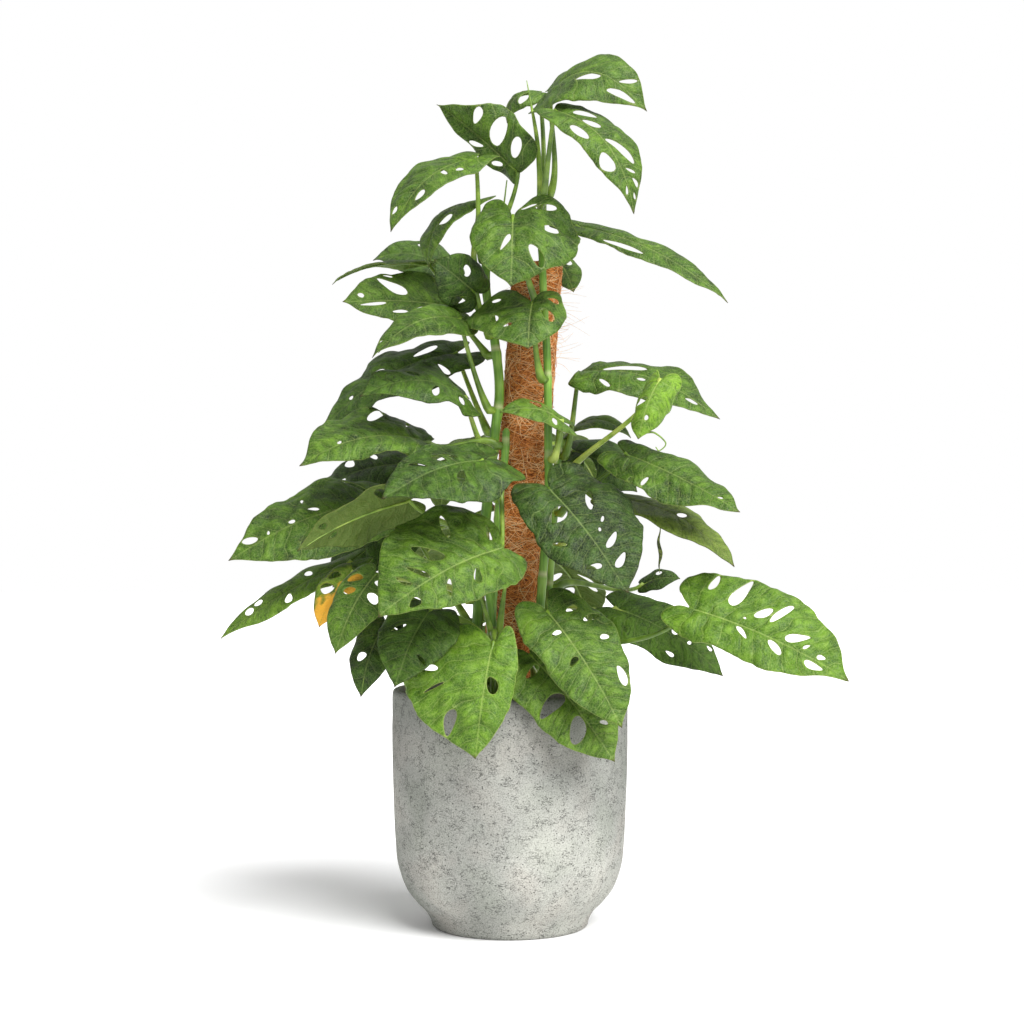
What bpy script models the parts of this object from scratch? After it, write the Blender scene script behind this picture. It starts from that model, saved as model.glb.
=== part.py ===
"""Monstera adansonii climbing a coir pole in a cast concrete pot.

Metres, +Z up.  The origin is the middle of the pot's underside, -Y is the side
that the photograph shows.  One object for each separate piece: the pot, the
soil, the pole's rod and its coir sleeve, six climbing stems, and every leaf
with its own stalk.
"""
import math
import random

import bmesh
import bpy
from mathutils import Matrix, Vector
from mathutils.geometry import delaunay_2d_cdt

# Pot: outer diameter read as 0.27 m, everything else is scaled from it
POT_HEIGHT = 0.270
POT_WALL = 0.011
POT_FLOOR = 0.020
POT_SIDES = 32
POT_FOOT_BEVEL = 0.003
# Outer profile: height, radius
POT_PROFILE = [
    (0.004, 0.0895),
    (0.012, 0.0930),
    (0.020, 0.0985),
    (0.033, 0.1110),
    (0.050, 0.1215),
    (0.073, 0.1285),
    (0.112, 0.1320),
    (0.196, 0.1345),
]
POT_RIM_RADIUS = 0.135
# Heights at which the inside of the pot turns
POT_INNER_HEIGHTS = (0.036, 0.060, 0.112)
POT_FLOOR_STEP_IN = 0.008
# Rounded lip: its depth, the flat left at the top and how far it steps in
POT_LIP_DEPTH = 0.004
POT_LIP_DROP = 0.001
POT_LIP_STEP = 0.002
POT_LIP_TOP_IN = 0.0045

# Gap left between two pieces that touch on the real plant
GAP = 0.0003

SOIL_TOP = 0.235
SOIL_TOP_RADIUS = 0.095
SOIL_SHOULDER = 0.004

# Coir pole: leans to the right, as the photograph shows
POLE_FOOT = Vector((-0.0105, 0.005, 0.180))
POLE_HEAD = Vector((0.0320, 0.005, 0.756))
COIR_RADIUS = 0.0295
COIR_LUMP = 0.0012
COIR_SIDES = 16
COIR_RINGS = 10
ROD_RADIUS = 0.014
ROD_SIDES = 12
ROD_BELOW_SOIL = 0.120
ROD_BELOW_HEAD = 0.004
COIR_HOLE_SIDES = 24

# Stems: hand-placed points from the soil up, with the radius at foot and tip
STEM_SIDES = 8
STEM_STEP = 0.050
STEM_BUD = 0.45
STEM_HOLE_SLACK = 0.0006
STEM_HOLE_SIDES = 10
STEMS = {
    "stem_front_right": dict(radius=(0.0055, 0.0040), points=[
        (0.026, -0.040, 0.205), (0.030, -0.040, 0.300), (0.035, -0.037, 0.376),
        (0.043, -0.036, 0.483), (0.043, -0.036, 0.560), (0.042, -0.036, 0.640),
        (0.038, -0.034, 0.710), (0.036, -0.028, 0.770), (0.034, -0.014, 0.835)]),
    "stem_left": dict(radius=(0.0070, 0.0048), points=[
        (-0.046, -0.012, 0.205), (-0.038, -0.014, 0.330), (-0.029, -0.017, 0.450),
        (-0.017, -0.022, 0.560), (-0.012, -0.022, 0.610), (-0.018, -0.018, 0.670),
        (-0.027, -0.012, 0.723), (-0.026, -0.006, 0.765), (-0.020, -0.002, 0.800)]),
    "stem_front_left": dict(radius=(0.0055, 0.0042), points=[
        (-0.024, -0.044, 0.205), (-0.022, -0.044, 0.300), (-0.018, -0.042, 0.400),
        (-0.012, -0.042, 0.480), (-0.006, -0.044, 0.530), (-0.004, -0.044, 0.565)]),
    "stem_right": dict(radius=(0.0055, 0.0042), points=[
        (0.034, 0.004, 0.205), (0.039, 0.006, 0.300), (0.047, 0.008, 0.420),
        (0.054, 0.008, 0.520), (0.058, 0.008, 0.575)]),
    "stem_low_front": dict(radius=(0.0055, 0.0042), points=[
        (-0.008, -0.070, 0.205), (-0.012, -0.072, 0.270), (-0.018, -0.070, 0.340),
        (-0.026, -0.064, 0.395)]),
    "stem_back": dict(radius=(0.0055, 0.0040), points=[
        (0.002, 0.048, 0.205), (0.004, 0.049, 0.300), (0.012, 0.050, 0.420),
        (0.020, 0.050, 0.520), (0.026, 0.050, 0.610)]),
}

# Leaf blades and stalks
BLADE_THICKNESS = 0.0009
STALK_SIDES = 4
STALK_RINGS = 4
STALK_RADIUS = (0.0028, 0.0016)
STALK_END_RADIUS = 0.0009
# A stalk first leaves its stem square on, then bends up; the bends are shares of its length
STALK_SQUARE_OUT = 0.006
STALK_LOW_BEND = 0.35
STALK_HIGH_BEND = 0.30
# Place along the midrib at which the stalk ends inside the blade
STALK_INTO_BLADE = 0.07
HOLE_SIDES = 4
# Holes: place of the first and the last root on the midrib, and how far the side veins
# that bound them slant towards the tip; sizes are shares of the room there
HOLE_ROOTS = (0.10, 0.62)
VEIN_SLANT = 0.42
HOLE_LONG = 0.27
HOLE_LONGEST = 0.33
HOLE_SHORT = 0.19
HOLE_WIDEST = 0.21
# Half outline of a blade: place along the midrib, share of the half width
HALF_OUTLINE = [
    (-0.50, 0.13), (-1.00, 0.37), (-0.78, 0.65), (0.04, 0.87), (0.20, 0.99),
    (0.40, 1.00), (0.58, 0.88), (0.76, 0.62), (0.89, 0.30), (0.955, 0.10),
]
MIDRIB_STEPS = (0.25, 0.5, 0.75)


class Leaf:
    """One leaf: where it hangs on its stem, its blade's two ends and its form."""

    def __init__(self, name, stem, hang, base, tip, width, face, arch=0.12, fold=10.0,
                 roll=-35.0, twist=0.0, split=0.5, lobe=0.14, holes=(3, 3), size=1.0,
                 wave=0.05, bend=(0.0, 0.0, 0.0), tone="mid"):
        self.name = "leaf_" + name
        self.stem = stem
        self.hang = hang
        self.base = Vector(base)
        self.tip = Vector(tip)
        self.width = width
        self.face = Vector(face)
        self.arch = arch
        self.fold = math.radians(fold)
        self.roll = math.radians(roll)
        self.twist = math.radians(twist)
        self.split = split
        self.lobe = lobe
        self.holes = holes
        self.size = size
        self.wave = wave
        self.bend = Vector(bend)
        self.tone = tone
        self.phase = sum(ord(letter) for letter in name) % 17 / 17.0
        line = self.tip - self.base
        self.length = line.length
        self.along = line.normalized()
        self.up = (self.face - self.along * self.face.dot(self.along)).normalized()
        self.side = self.along.cross(self.up)


# width: full width of the blade.  face: the way its upper side looks.
# split: share of the width on the side that along x face points to.
LEAVES = [
    Leaf("top_right", "stem_front_right", 0.825, (0.047, 0.004, 0.953), (0.152, -0.040, 0.920),
         0.098, (0.0, -0.74, 0.67), arch=0.33, split=0.52, lobe=0.18),
    Leaf("upper_right", "stem_front_right", 0.820, (0.050, -0.060, 0.918),
         (0.137, -0.096, 0.797), 0.078, (0.4, -0.75, 0.5), arch=0.20, split=0.42,
         lobe=0.08),
    Leaf("crumpled", "stem_left", 0.790, (0.009, -0.010, 0.856), (-0.083, -0.010, 0.936),
         0.066, (-0.4, -0.85, -0.3), arch=-0.06, fold=35, roll=-70, wave=0.18, split=0.72,
         lobe=0.05),
    Leaf("young_curl", "stem_front_right", 0.810, (0.034, 0.044, 0.960),
         (-0.003, 0.046, 0.925), 0.054, (-0.4, -0.5, 0.8), arch=0.32, roll=-60,
         holes=(1, 2)),
    Leaf("upper_left", "stem_left", 0.755, (-0.039, -0.035, 0.869), (-0.130, -0.080, 0.779),
         0.087, (-0.4, -0.6, 0.7), arch=0.16, split=0.58),
    Leaf("thin_left", "stem_left", 0.745, (-0.037, 0.010, 0.828), (-0.094, -0.020, 0.748),
         0.065, (-0.6, -0.4, 0.6), arch=0.22, size=1.25, holes=(3, 2)),
    Leaf("bright_heart", "stem_front_right", 0.700, (0.003, -0.064, 0.800),
         (0.001, -0.112, 0.715), 0.122, (0.05, -0.88, 0.48), arch=0.10, split=0.38,
         lobe=0.40),
    Leaf("long_right", "stem_front_right", 0.768, (0.076, 0.000, 0.798),
         (0.243, -0.060, 0.704), 0.056, (0.2, -0.50, 0.8), arch=0.08),
    Leaf("pole_heart", "stem_front_right", 0.620, (0.025, -0.055, 0.705),
         (0.020, -0.095, 0.649), 0.115, (-0.1, -0.75, 0.65), arch=0.12, split=0.64,
         lobe=0.32),
    Leaf("small_back_right", "stem_back", 0.590, (0.056, 0.060, 0.767),
         (0.074, 0.050, 0.728), 0.042, (0.3, -0.8, 0.4), holes=(1, 1)),
    Leaf("edge_on_left", "stem_left", 0.700, (-0.095, 0.050, 0.761), (-0.207, 0.030, 0.736),
         0.060, (0.0, -0.05, 1.0), arch=0.10, holes=(2, 2)),
    Leaf("dome_left", "stem_left", 0.690, (-0.068, 0.110, 0.757), (-0.166, 0.115, 0.775),
         0.085, (0.0, -0.6, 0.75), arch=0.18, holes=(1, 1), tone="dark"),
    Leaf("tip_left_upper", "stem_left", 0.650, (-0.066, 0.010, 0.707),
         (-0.189, -0.030, 0.707), 0.095, (-0.1, -0.75, 0.6), arch=0.05, split=0.62,
         size=1.2),
    Leaf("curly_left", "stem_left", 0.670, (-0.037, -0.035, 0.716), (-0.084, -0.055, 0.752),
         0.068, (-0.4, -0.8, 0.3), arch=0.20, fold=25, roll=-80, wave=0.15,
         holes=(1, 1), tone="dark"),
    Leaf("arching_left", "stem_left", 0.585, (-0.056, -0.055, 0.686),
         (-0.149, -0.110, 0.638), 0.070, (-0.2, -0.7, 0.7), arch=0.18, twist=30,
         holes=(2, 3)),
    Leaf("mid_left", "stem_left", 0.560, (-0.062, 0.034, 0.656), (-0.215, 0.000, 0.563),
         0.100, (-0.3, -0.6, 0.75), arch=0.12, wave=0.09, tone="dark"),
    Leaf("mid_left_low", "stem_left", 0.540, (-0.050, -0.044, 0.600),
         (-0.164, -0.100, 0.597), 0.084, (0.0, -0.6, 0.8), arch=0.17, wave=0.09,
         holes=(3, 2), tone="dark"),
    Leaf("pale_rib_left", "stem_front_left", 0.545, (-0.091, -0.050, 0.549),
         (-0.229, -0.110, 0.521), 0.108, (-0.1, -0.6, 0.8), arch=0.14, split=0.64,
         wave=0.08),
    Leaf("dark_front_left", "stem_front_left", 0.485, (-0.030, -0.115, 0.527),
         (-0.134, -0.180, 0.483), 0.110, (-0.1, -0.7, 0.75), arch=0.10, split=0.42, lobe=0.28,
         tone="dark"),
    Leaf("big_left", "stem_left", 0.440, (-0.149, -0.015, 0.482), (-0.311, -0.070, 0.416),
         0.118, (-0.2, -0.75, 0.65), arch=0.10, split=0.47, holes=(4, 3)),
    Leaf("above_big_left", "stem_left", 0.490, (-0.112, 0.065, 0.528),
         (-0.250, 0.080, 0.478), 0.086, (-0.1, -0.55, 0.8), arch=0.12, holes=(2, 2),
         tone="dark"),
    Leaf("olive_left", "stem_front_left", 0.430, (-0.110, -0.104, 0.484),
         (-0.225, -0.165, 0.429), 0.082, (-0.25, 0.6, 0.75), arch=0.06, holes=(1, 2),
         tone="olive"),
    Leaf("big_front_left", "stem_front_left", 0.505, (-0.009, -0.132, 0.432),
         (-0.137, -0.205, 0.362), 0.136, (-0.15, -0.85, 0.5), arch=0.10, split=0.64,
         holes=(4, 3), lobe=0.13, bend=(-0.007, 0.0, 0.020)),
    Leaf("left_inner", "stem_left", 0.345, (-0.118, 0.032, 0.462), (-0.208, 0.028, 0.384),
         0.088, (-0.2, -0.7, 0.6), holes=(1, 1), tone="dark"),
    Leaf("long_low_left", "stem_left", 0.370, (-0.181, -0.025, 0.415),
         (-0.324, -0.050, 0.329), 0.055, (-0.2, -0.5, 0.85), arch=0.05, holes=(3, 2)),
    Leaf("half_yellow", "stem_left", 0.330, (-0.175, -0.070, 0.405),
         (-0.209, -0.100, 0.345), 0.050, (-0.3, -0.85, 0.35), holes=(2, 1),
         tone="yellow"),
    Leaf("low_left_a", "stem_front_left", 0.330, (-0.146, -0.105, 0.403),
         (-0.186, -0.145, 0.319), 0.062, (-0.3, -0.8, 0.4), holes=(2, 2)),
    Leaf("low_left_b", "stem_low_front", 0.285, (-0.137, -0.085, 0.350),
         (-0.161, -0.125, 0.271), 0.054, (-0.3, -0.85, 0.4), holes=(1, 2), tone="dark"),
    Leaf("low_left_c", "stem_low_front", 0.305, (-0.087, -0.105, 0.364),
         (-0.122, -0.155, 0.284), 0.085, (-0.2, -0.85, 0.45), tone="dark"),
    Leaf("right_upper", "stem_right", 0.535, (0.079, -0.010, 0.630), (0.232, -0.070, 0.573),
         0.098, (0.1, -0.50, 0.85), arch=0.13, lobe=-0.03),
    Leaf("young_bright", "stem_right", 0.505, (0.162, -0.120, 0.614),
         (0.138, -0.140, 0.549), 0.064, (-0.3, -0.85, 0.3), arch=0.14, fold=-10, roll=-80,
         holes=(1, 2), lobe=0.28, tone="bright"),
    Leaf("pole_cross", "stem_front_right", 0.530, (0.058, -0.060, 0.573),
         (-0.011, -0.080, 0.580), 0.048, (0.0, -0.6, 0.8), arch=0.16, holes=(1, 1),
         lobe=0.3),
    Leaf("small_arch_right", "stem_right", 0.550, (0.071, 0.030, 0.566),
         (0.139, 0.010, 0.556), 0.052, (0.1, -0.4, 0.9), arch=0.24, holes=(1, 1)),
    Leaf("puckered_right", "stem_right", 0.470, (0.129, -0.060, 0.536),
         (0.248, -0.130, 0.471), 0.085, (0.2, -0.6, 0.75), arch=0.03, split=0.53,
         wave=0.08),
    Leaf("behind_right", "stem_back", 0.500, (0.074, 0.040, 0.542), (0.147, 0.020, 0.494),
         0.080, (0.1, -0.7, 0.7), tone="dark"),
    Leaf("under_right", "stem_right", 0.430, (0.118, -0.040, 0.486), (0.247, -0.090, 0.411),
         0.080, (0.2, -0.35, 0.9), arch=0.12, holes=(2, 2), tone="olive"),
    Leaf("big_centre_right", "stem_front_right", 0.455, (0.043, -0.094, 0.496),
         (0.125, -0.158, 0.384), 0.122, (0.15, -0.85, 0.5), arch=0.08, split=0.42,
         holes=(3, 4), lobe=0.20, size=1.15, tone="dark"),
    Leaf("front_left_low", "stem_low_front", 0.335, (-0.018, -0.137, 0.331),
         (-0.036, -0.178, 0.211), 0.125, (-0.15, -0.85, 0.5), arch=0.08, split=0.74,
         lobe=0.16, tone="bright"),
    Leaf("front_right_low", "stem_front_right", 0.330, (0.041, -0.120, 0.363),
         (0.118, -0.175, 0.243), 0.097, (0.15, -0.85, 0.5), arch=0.08, split=0.45,
         lobe=0.18),
    Leaf("front_right_under", "stem_front_right", 0.285, (0.022, -0.110, 0.316),
         (0.112, -0.148, 0.204), 0.100, (0.15, -0.85, 0.5), arch=0.06, size=1.25),
    Leaf("right_low", "stem_right", 0.360, (0.120, -0.012, 0.362), (0.240, -0.035, 0.286),
         0.080, (0.2, -0.7, 0.6), arch=0.10, tone="dark"),
    Leaf("right_low_small", "stem_right", 0.385, (0.154, 0.035, 0.387),
         (0.197, 0.025, 0.394), 0.038, (0.0, -0.6, 0.8), holes=(0, 1), tone="dark"),
    Leaf("far_right_big", "stem_right", 0.320, (0.197, -0.100, 0.366),
         (0.361, -0.160, 0.292), 0.112, (0.1, -0.8, 0.6), arch=0.06, split=0.36,
         holes=(4, 4), size=1.1, bend=(0.0, -0.020, -0.030), tone="bright"),
    Leaf("back_left_high", "stem_back", 0.525, (-0.040, 0.130, 0.560),
         (-0.090, 0.240, 0.470), 0.090, (-0.3, 0.4, 0.8), holes=(2, 2)),
    Leaf("back_right_high", "stem_back", 0.545, (0.060, 0.130, 0.560),
         (0.120, 0.230, 0.470), 0.090, (0.3, 0.4, 0.8), holes=(2, 2)),
    Leaf("back_left_low", "stem_back", 0.420, (-0.060, 0.130, 0.450),
         (-0.140, 0.220, 0.360), 0.100, (-0.3, 0.5, 0.8), holes=(2, 2)),
    Leaf("back_right_low", "stem_back", 0.400, (0.045, 0.130, 0.420),
         (0.100, 0.210, 0.330), 0.100, (0.3, 0.5, 0.8), holes=(2, 2)),
    Leaf("back_low", "stem_back", 0.310, (0.000, 0.130, 0.360), (-0.010, 0.210, 0.270),
         0.090, (0.0, 0.6, 0.7), holes=(1, 1)),
    Leaf("back_side_left", "stem_back", 0.470, (-0.105, 0.075, 0.455),
         (-0.215, 0.125, 0.385), 0.085, (-0.5, 0.2, 0.8), holes=(1, 1)),
]

TONES = {
    "mid": (0.075, 0.190, 0.035),
    "bright": (0.150, 0.340, 0.040),
    "dark": (0.040, 0.115, 0.028),
    "olive": (0.150, 0.240, 0.060),
    "yellow": (0.560, 0.380, 0.040),
}


def clear_scene():
    for thing in list(bpy.data.objects):
        bpy.data.objects.remove(thing, do_unlink=True)


def material(name, colour, roughness, metallic=0.0):
    made = bpy.data.materials.new(name)
    made.use_nodes = True
    shader = made.node_tree.nodes["Principled BSDF"]
    shader.inputs["Base Color"].default_value = (*colour, 1.0)
    shader.inputs["Roughness"].default_value = roughness
    shader.inputs["Metallic"].default_value = metallic
    made.diffuse_color = (*colour, 1.0)
    return made


def add_object(name, mesh_data, look, smooth=True):
    """Put a bmesh in the scene as one object with its material."""
    mesh = bpy.data.meshes.new(name)
    mesh_data.to_mesh(mesh)
    mesh_data.free()
    for face in mesh.polygons:
        face.use_smooth = smooth
    thing = bpy.data.objects.new(name, mesh)
    bpy.context.scene.collection.objects.link(thing)
    thing.data.materials.append(look)
    return thing


def join_solids(target, others, how="UNION"):
    """One Boolean of target with the other objects, applied; they are removed."""
    group = bpy.data.collections.new("joined")
    for other in others:
        group.objects.link(other)
    step = target.modifiers.new("join", "BOOLEAN")
    step.operation = how
    step.operand_type = "COLLECTION"
    step.collection = group
    step.solver = "MANIFOLD"
    deps = bpy.context.evaluated_depsgraph_get()
    joined = bpy.data.meshes.new_from_object(target.evaluated_get(deps))
    target.modifiers.clear()
    target.data = joined
    for other in others:
        bpy.data.objects.remove(other, do_unlink=True)
    bpy.data.collections.remove(group)
    return target


# Round bodies


def ring(mesh_data, centre, radius, sides, across=None, rise=None, vary=None):
    """A ring of vertices; across and rise are the ring's two directions."""
    across = across or Vector((1, 0, 0))
    rise = rise or Vector((0, 1, 0))
    made = []
    for step in range(sides):
        angle = 2 * math.pi * step / sides
        reach = radius * (vary(angle) if vary else 1.0)
        place = centre + across * math.cos(angle) * reach + rise * math.sin(angle) * reach
        made.append(mesh_data.verts.new(place))
    return made


def bridge(mesh_data, lower, upper):
    count = len(lower)
    for step in range(count):
        after = (step + 1) % count
        mesh_data.faces.new((lower[step], lower[after], upper[after], upper[step]))


def revolve(profile, sides):
    """A closed body of revolution about Z; the profile's ends lie on the axis."""
    mesh_data = bmesh.new()
    rings = [ring(mesh_data, Vector((0, 0, height)), radius, sides)
             for height, radius in profile]
    for lower, upper in zip(rings, rings[1:]):
        bridge(mesh_data, lower, upper)
    mesh_data.faces.new(list(reversed(rings[0])))
    mesh_data.faces.new(rings[-1])
    bmesh.ops.recalc_face_normals(mesh_data, faces=mesh_data.faces)
    return mesh_data


def pot_outer_radius(height):
    """Outer radius of the pot at a height, from its profile."""
    points = POT_PROFILE + [(POT_HEIGHT, POT_RIM_RADIUS)]
    for (low, near), (high, far) in zip(points, points[1:]):
        if low <= height <= high:
            return near + (far - near) * (height - low) / (high - low)
    return points[0][1]


def pot_inner_profile():
    """Height and radius of the inside of the pot, from its floor to its rim."""
    wall = [(height, pot_outer_radius(height) - POT_WALL) for height in POT_INNER_HEIGHTS]
    floor = (POT_FLOOR, wall[0][1] - POT_FLOOR_STEP_IN)
    return [floor] + wall + [(POT_HEIGHT - POT_LIP_DEPTH, POT_RIM_RADIUS - POT_WALL)]


def build_pot():
    rim = POT_RIM_RADIUS
    profile = [(0.0, POT_PROFILE[0][1] - POT_FOOT_BEVEL)] + POT_PROFILE
    profile += [
        (POT_HEIGHT - POT_LIP_DEPTH, rim),
        (POT_HEIGHT - POT_LIP_DROP, rim - POT_LIP_STEP),
        (POT_HEIGHT, rim - POT_LIP_TOP_IN),
        (POT_HEIGHT - POT_LIP_DROP, rim - POT_WALL + POT_LIP_STEP),
    ]
    profile += reversed(pot_inner_profile())
    look = material("cast_concrete", (0.47, 0.48, 0.45), 0.85)
    return add_object("pot", revolve(profile, POT_SIDES), look)


def pole_axis():
    return (POLE_HEAD - POLE_FOOT).normalized()


def pole_ring_axes():
    axis = pole_axis()
    across = Vector((0, 1, 0)).cross(axis).normalized()
    return across, axis.cross(across)


def coir_reach(angle, place):
    """Lumpy outside of the wound coir, as a share of its radius."""
    lump = math.sin(3 * angle + 9 * place) + math.sin(5 * angle - 14 * place)
    return 1.0 + 0.5 * lump * COIR_LUMP / COIR_RADIUS


def build_pole():
    across, rise = pole_ring_axes()
    span = POLE_HEAD - POLE_FOOT
    sleeve = bmesh.new()
    outer = []
    for step in range(COIR_RINGS + 1):
        place = step / COIR_RINGS
        outer.append(ring(sleeve, POLE_FOOT + span * place, COIR_RADIUS, COIR_SIDES, across,
                          rise, lambda angle: coir_reach(angle, place)))
    inside = ROD_RADIUS + GAP
    foot = ring(sleeve, POLE_FOOT, inside / math.cos(math.pi / COIR_SIDES), COIR_SIDES,
                across, rise)
    head = ring(sleeve, POLE_HEAD, inside / math.cos(math.pi / COIR_SIDES), COIR_SIDES,
                across, rise)
    for lower, upper in zip(outer, outer[1:]):
        bridge(sleeve, lower, upper)
    bridge(sleeve, outer[-1], head)
    bridge(sleeve, head, foot)
    bridge(sleeve, foot, outer[0])
    bmesh.ops.recalc_face_normals(sleeve, faces=sleeve.faces)
    add_object("coir_sleeve", sleeve, material("coir", (0.30, 0.12, 0.05), 0.95))

    rod = bmesh.new()
    low = ring(rod, POLE_FOOT - pole_axis() * ROD_BELOW_SOIL, ROD_RADIUS, ROD_SIDES, across,
               rise)
    high = ring(rod, POLE_HEAD - pole_axis() * ROD_BELOW_HEAD, ROD_RADIUS, ROD_SIDES, across, rise)
    bridge(rod, low, high)
    rod.faces.new(low)
    rod.faces.new(high)
    bmesh.ops.recalc_face_normals(rod, faces=rod.faces)
    add_object("pole_rod", rod, material("pole_wood", (0.35, 0.22, 0.11), 0.8))


# Tubes along curves


def smooth_path(points, step):
    """Points of a Catmull-Rom curve through the given ones, about step apart."""
    points = [Vector(point) for point in points]
    ends = [points[0] * 2 - points[1]] + points + [points[-1] * 2 - points[-2]]
    path = []
    for before, start, stop, after in zip(ends, ends[1:], ends[2:], ends[3:]):
        parts = max(1, round((stop - start).length / step))
        for part in range(parts):
            t = part / parts
            path.append(0.5 * (2 * start + (stop - before) * t
                               + (2 * before - 5 * start + 4 * stop - after) * t * t
                               + (3 * start - before - 3 * stop + after) * t * t * t))
    path.append(points[-1])
    return path


def tube(path, radii, sides):
    """A closed tube along a path, with a radius at each of its points."""
    mesh_data = bmesh.new()
    across = None
    rings = []
    for place, point in enumerate(path):
        before = path[max(place - 1, 0)]
        after = path[min(place + 1, len(path) - 1)]
        heading = (after - before).normalized()
        if across is None:
            start = Vector((1, 0, 0)) if abs(heading.x) < 0.8 else Vector((0, 1, 0))
            across = start.cross(heading)
        across = (across - heading * across.dot(heading)).normalized()
        rings.append(ring(mesh_data, point, radii[place], sides, across,
                          heading.cross(across)))
    for lower, upper in zip(rings, rings[1:]):
        bridge(mesh_data, lower, upper)
    mesh_data.faces.new(rings[0])
    mesh_data.faces.new(rings[-1])
    bmesh.ops.recalc_face_normals(mesh_data, faces=mesh_data.faces)
    return mesh_data


def stem_path(name):
    return smooth_path(STEMS[name]["points"], STEM_STEP)


def stem_radii(name):
    """Radius at each point of a stem's path; its end is drawn in to a bud."""
    foot, top = STEMS[name]["radius"]
    count = len(stem_path(name))
    radii = [foot + (top - foot) * place / (count - 1) for place in range(count)]
    radii[-1] *= STEM_BUD
    return radii


def stem_at(name, height):
    """Centre, radius and heading of a stem at a height."""
    path = stem_path(name)
    radii = stem_radii(name)
    for place, (low, high) in enumerate(zip(path, path[1:])):
        if low.z <= height <= high.z:
            share = (height - low.z) / (high.z - low.z)
            radius = radii[place] + (radii[place + 1] - radii[place]) * share
            return low.lerp(high, share), radius, (high - low).normalized()
    return path[-1], radii[-1], (path[-1] - path[-2]).normalized()


def build_stem(name):
    look = material(name + "_green", (0.20, 0.38, 0.06), 0.45)
    return add_object(name, tube(stem_path(name), stem_radii(name), STEM_SIDES), look)


# Soil, with a plain hole for each stem and for the pole


def build_soil():
    inner = pot_inner_profile()
    profile = [(height + GAP, radius - GAP) for height, radius in inner[:-1]]
    (low, near), (high, far) = inner[-2:]
    crust = SOIL_TOP - SOIL_SHOULDER
    profile.append((crust, near + (far - near) * (crust - low) / (high - low) - GAP))
    profile.append((SOIL_TOP, SOIL_TOP_RADIUS))
    look = material("potting_soil", (0.035, 0.024, 0.016), 1.0)
    soil = add_object("soil", revolve(profile, POT_SIDES), look)
    cutters = []
    for name in STEMS:
        foot = Vector(STEMS[name]["points"][0])
        following = Vector(STEMS[name]["points"][1])
        wide = stem_radii(name)[0] + STEM_HOLE_SLACK
        heading = (following - foot).normalized()
        path = [foot - heading * GAP, following]
        cutters.append(add_object("hole_" + name, tube(path, [wide, wide], STEM_HOLE_SIDES), look))
    across, rise = pole_ring_axes()
    axis = pole_axis()
    for label, start, wide, sides in (
            ("coir", POLE_FOOT - axis * GAP, COIR_RADIUS + COIR_LUMP + GAP, COIR_HOLE_SIDES),
            ("rod", POLE_FOOT - axis * (ROD_BELOW_SOIL + GAP), ROD_RADIUS + GAP, ROD_SIDES)):
        hole = bmesh.new()
        wide = wide / math.cos(math.pi / sides)
        low = ring(hole, start, wide, sides, across, rise)
        high = ring(hole, POLE_HEAD, wide, sides, across, rise)
        bridge(hole, low, high)
        hole.faces.new(low)
        hole.faces.new(high)
        bmesh.ops.recalc_face_normals(hole, faces=hole.faces)
        cutters.append(add_object("hole_" + label, hole, look))
    return join_solids(soil, cutters, "DIFFERENCE")


# Leaf blades


def midrib(leaf, place):
    """Point, heading and face direction of the midrib; place runs 0 to 1."""
    middle = (leaf.base + leaf.tip) / 2 + leaf.up * leaf.arch * 2 * leaf.length
    held = max(place, 0.0)
    point = (leaf.base * (1 - held) ** 2 + middle * 2 * held * (1 - held)
             + leaf.tip * held ** 2)
    heading = ((middle - leaf.base) * (1 - held) + (leaf.tip - middle) * held).normalized()
    if place < 0:
        point = point + heading * place * leaf.length
    up = leaf.side.cross(heading)
    turn = Matrix.Rotation(leaf.twist * (held - 0.3), 3, heading)
    return point, heading, turn @ leaf.side, turn @ up


def blade_point(leaf, place, reach):
    """A point of the blade's middle surface; reach is -1 to 1 across it."""
    point, heading, side, up = midrib(leaf, place)
    share = leaf.split if reach > 0 else 1 - leaf.split
    half = leaf.width * share
    out = abs(reach)
    if abs(leaf.roll) < 0.01:
        flat = out * math.cos(leaf.fold)
        lift = out * math.sin(leaf.fold)
    else:
        flat = (math.sin(leaf.fold + leaf.roll * out) - math.sin(leaf.fold)) / leaf.roll
        lift = (math.cos(leaf.fold) - math.cos(leaf.fold + leaf.roll * out)) / leaf.roll
    swing = 2 * math.pi * (1.9 * place + leaf.phase + (0.23 if reach > 0 else 0.0))
    lift += leaf.wave * out * out * math.sin(swing)
    sign = 1 if reach > 0 else -1
    return point + side * sign * flat * half + up * lift * half


def blade_normal(leaf, place, reach):
    step = 0.01
    along = blade_point(leaf, place + step, reach) - blade_point(leaf, place - step, reach)
    if abs(reach) < 0.02:
        across = midrib(leaf, place)[2]
    else:
        across = (blade_point(leaf, place, reach + step)
                  - blade_point(leaf, place, reach - step))
    return across.cross(along).normalized()


def half_width(place):
    """Share of the half width that the outline has at a place along the midrib."""
    points = [(-0.2, 0.5), (0.04, 0.88)] + HALF_OUTLINE[4:] + [(1.0, 0.0)]
    for (low, near), (high, far) in zip(points, points[1:]):
        if low <= place <= high:
            return near + (far - near) * (place - low) / (high - low)
    return 0.0


def blade_outline(leaf):
    """The closed outline, from the notch round one side to the tip and back."""
    def side_points(sign):
        made = []
        for place, reach in HALF_OUTLINE:
            along = place * leaf.lobe if place < 0 else place
            made.append((along, sign * reach))
        return made
    return [(0.0, 0.0)] + side_points(1) + [(1.0, 0.0)] + side_points(-1)[::-1]


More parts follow.
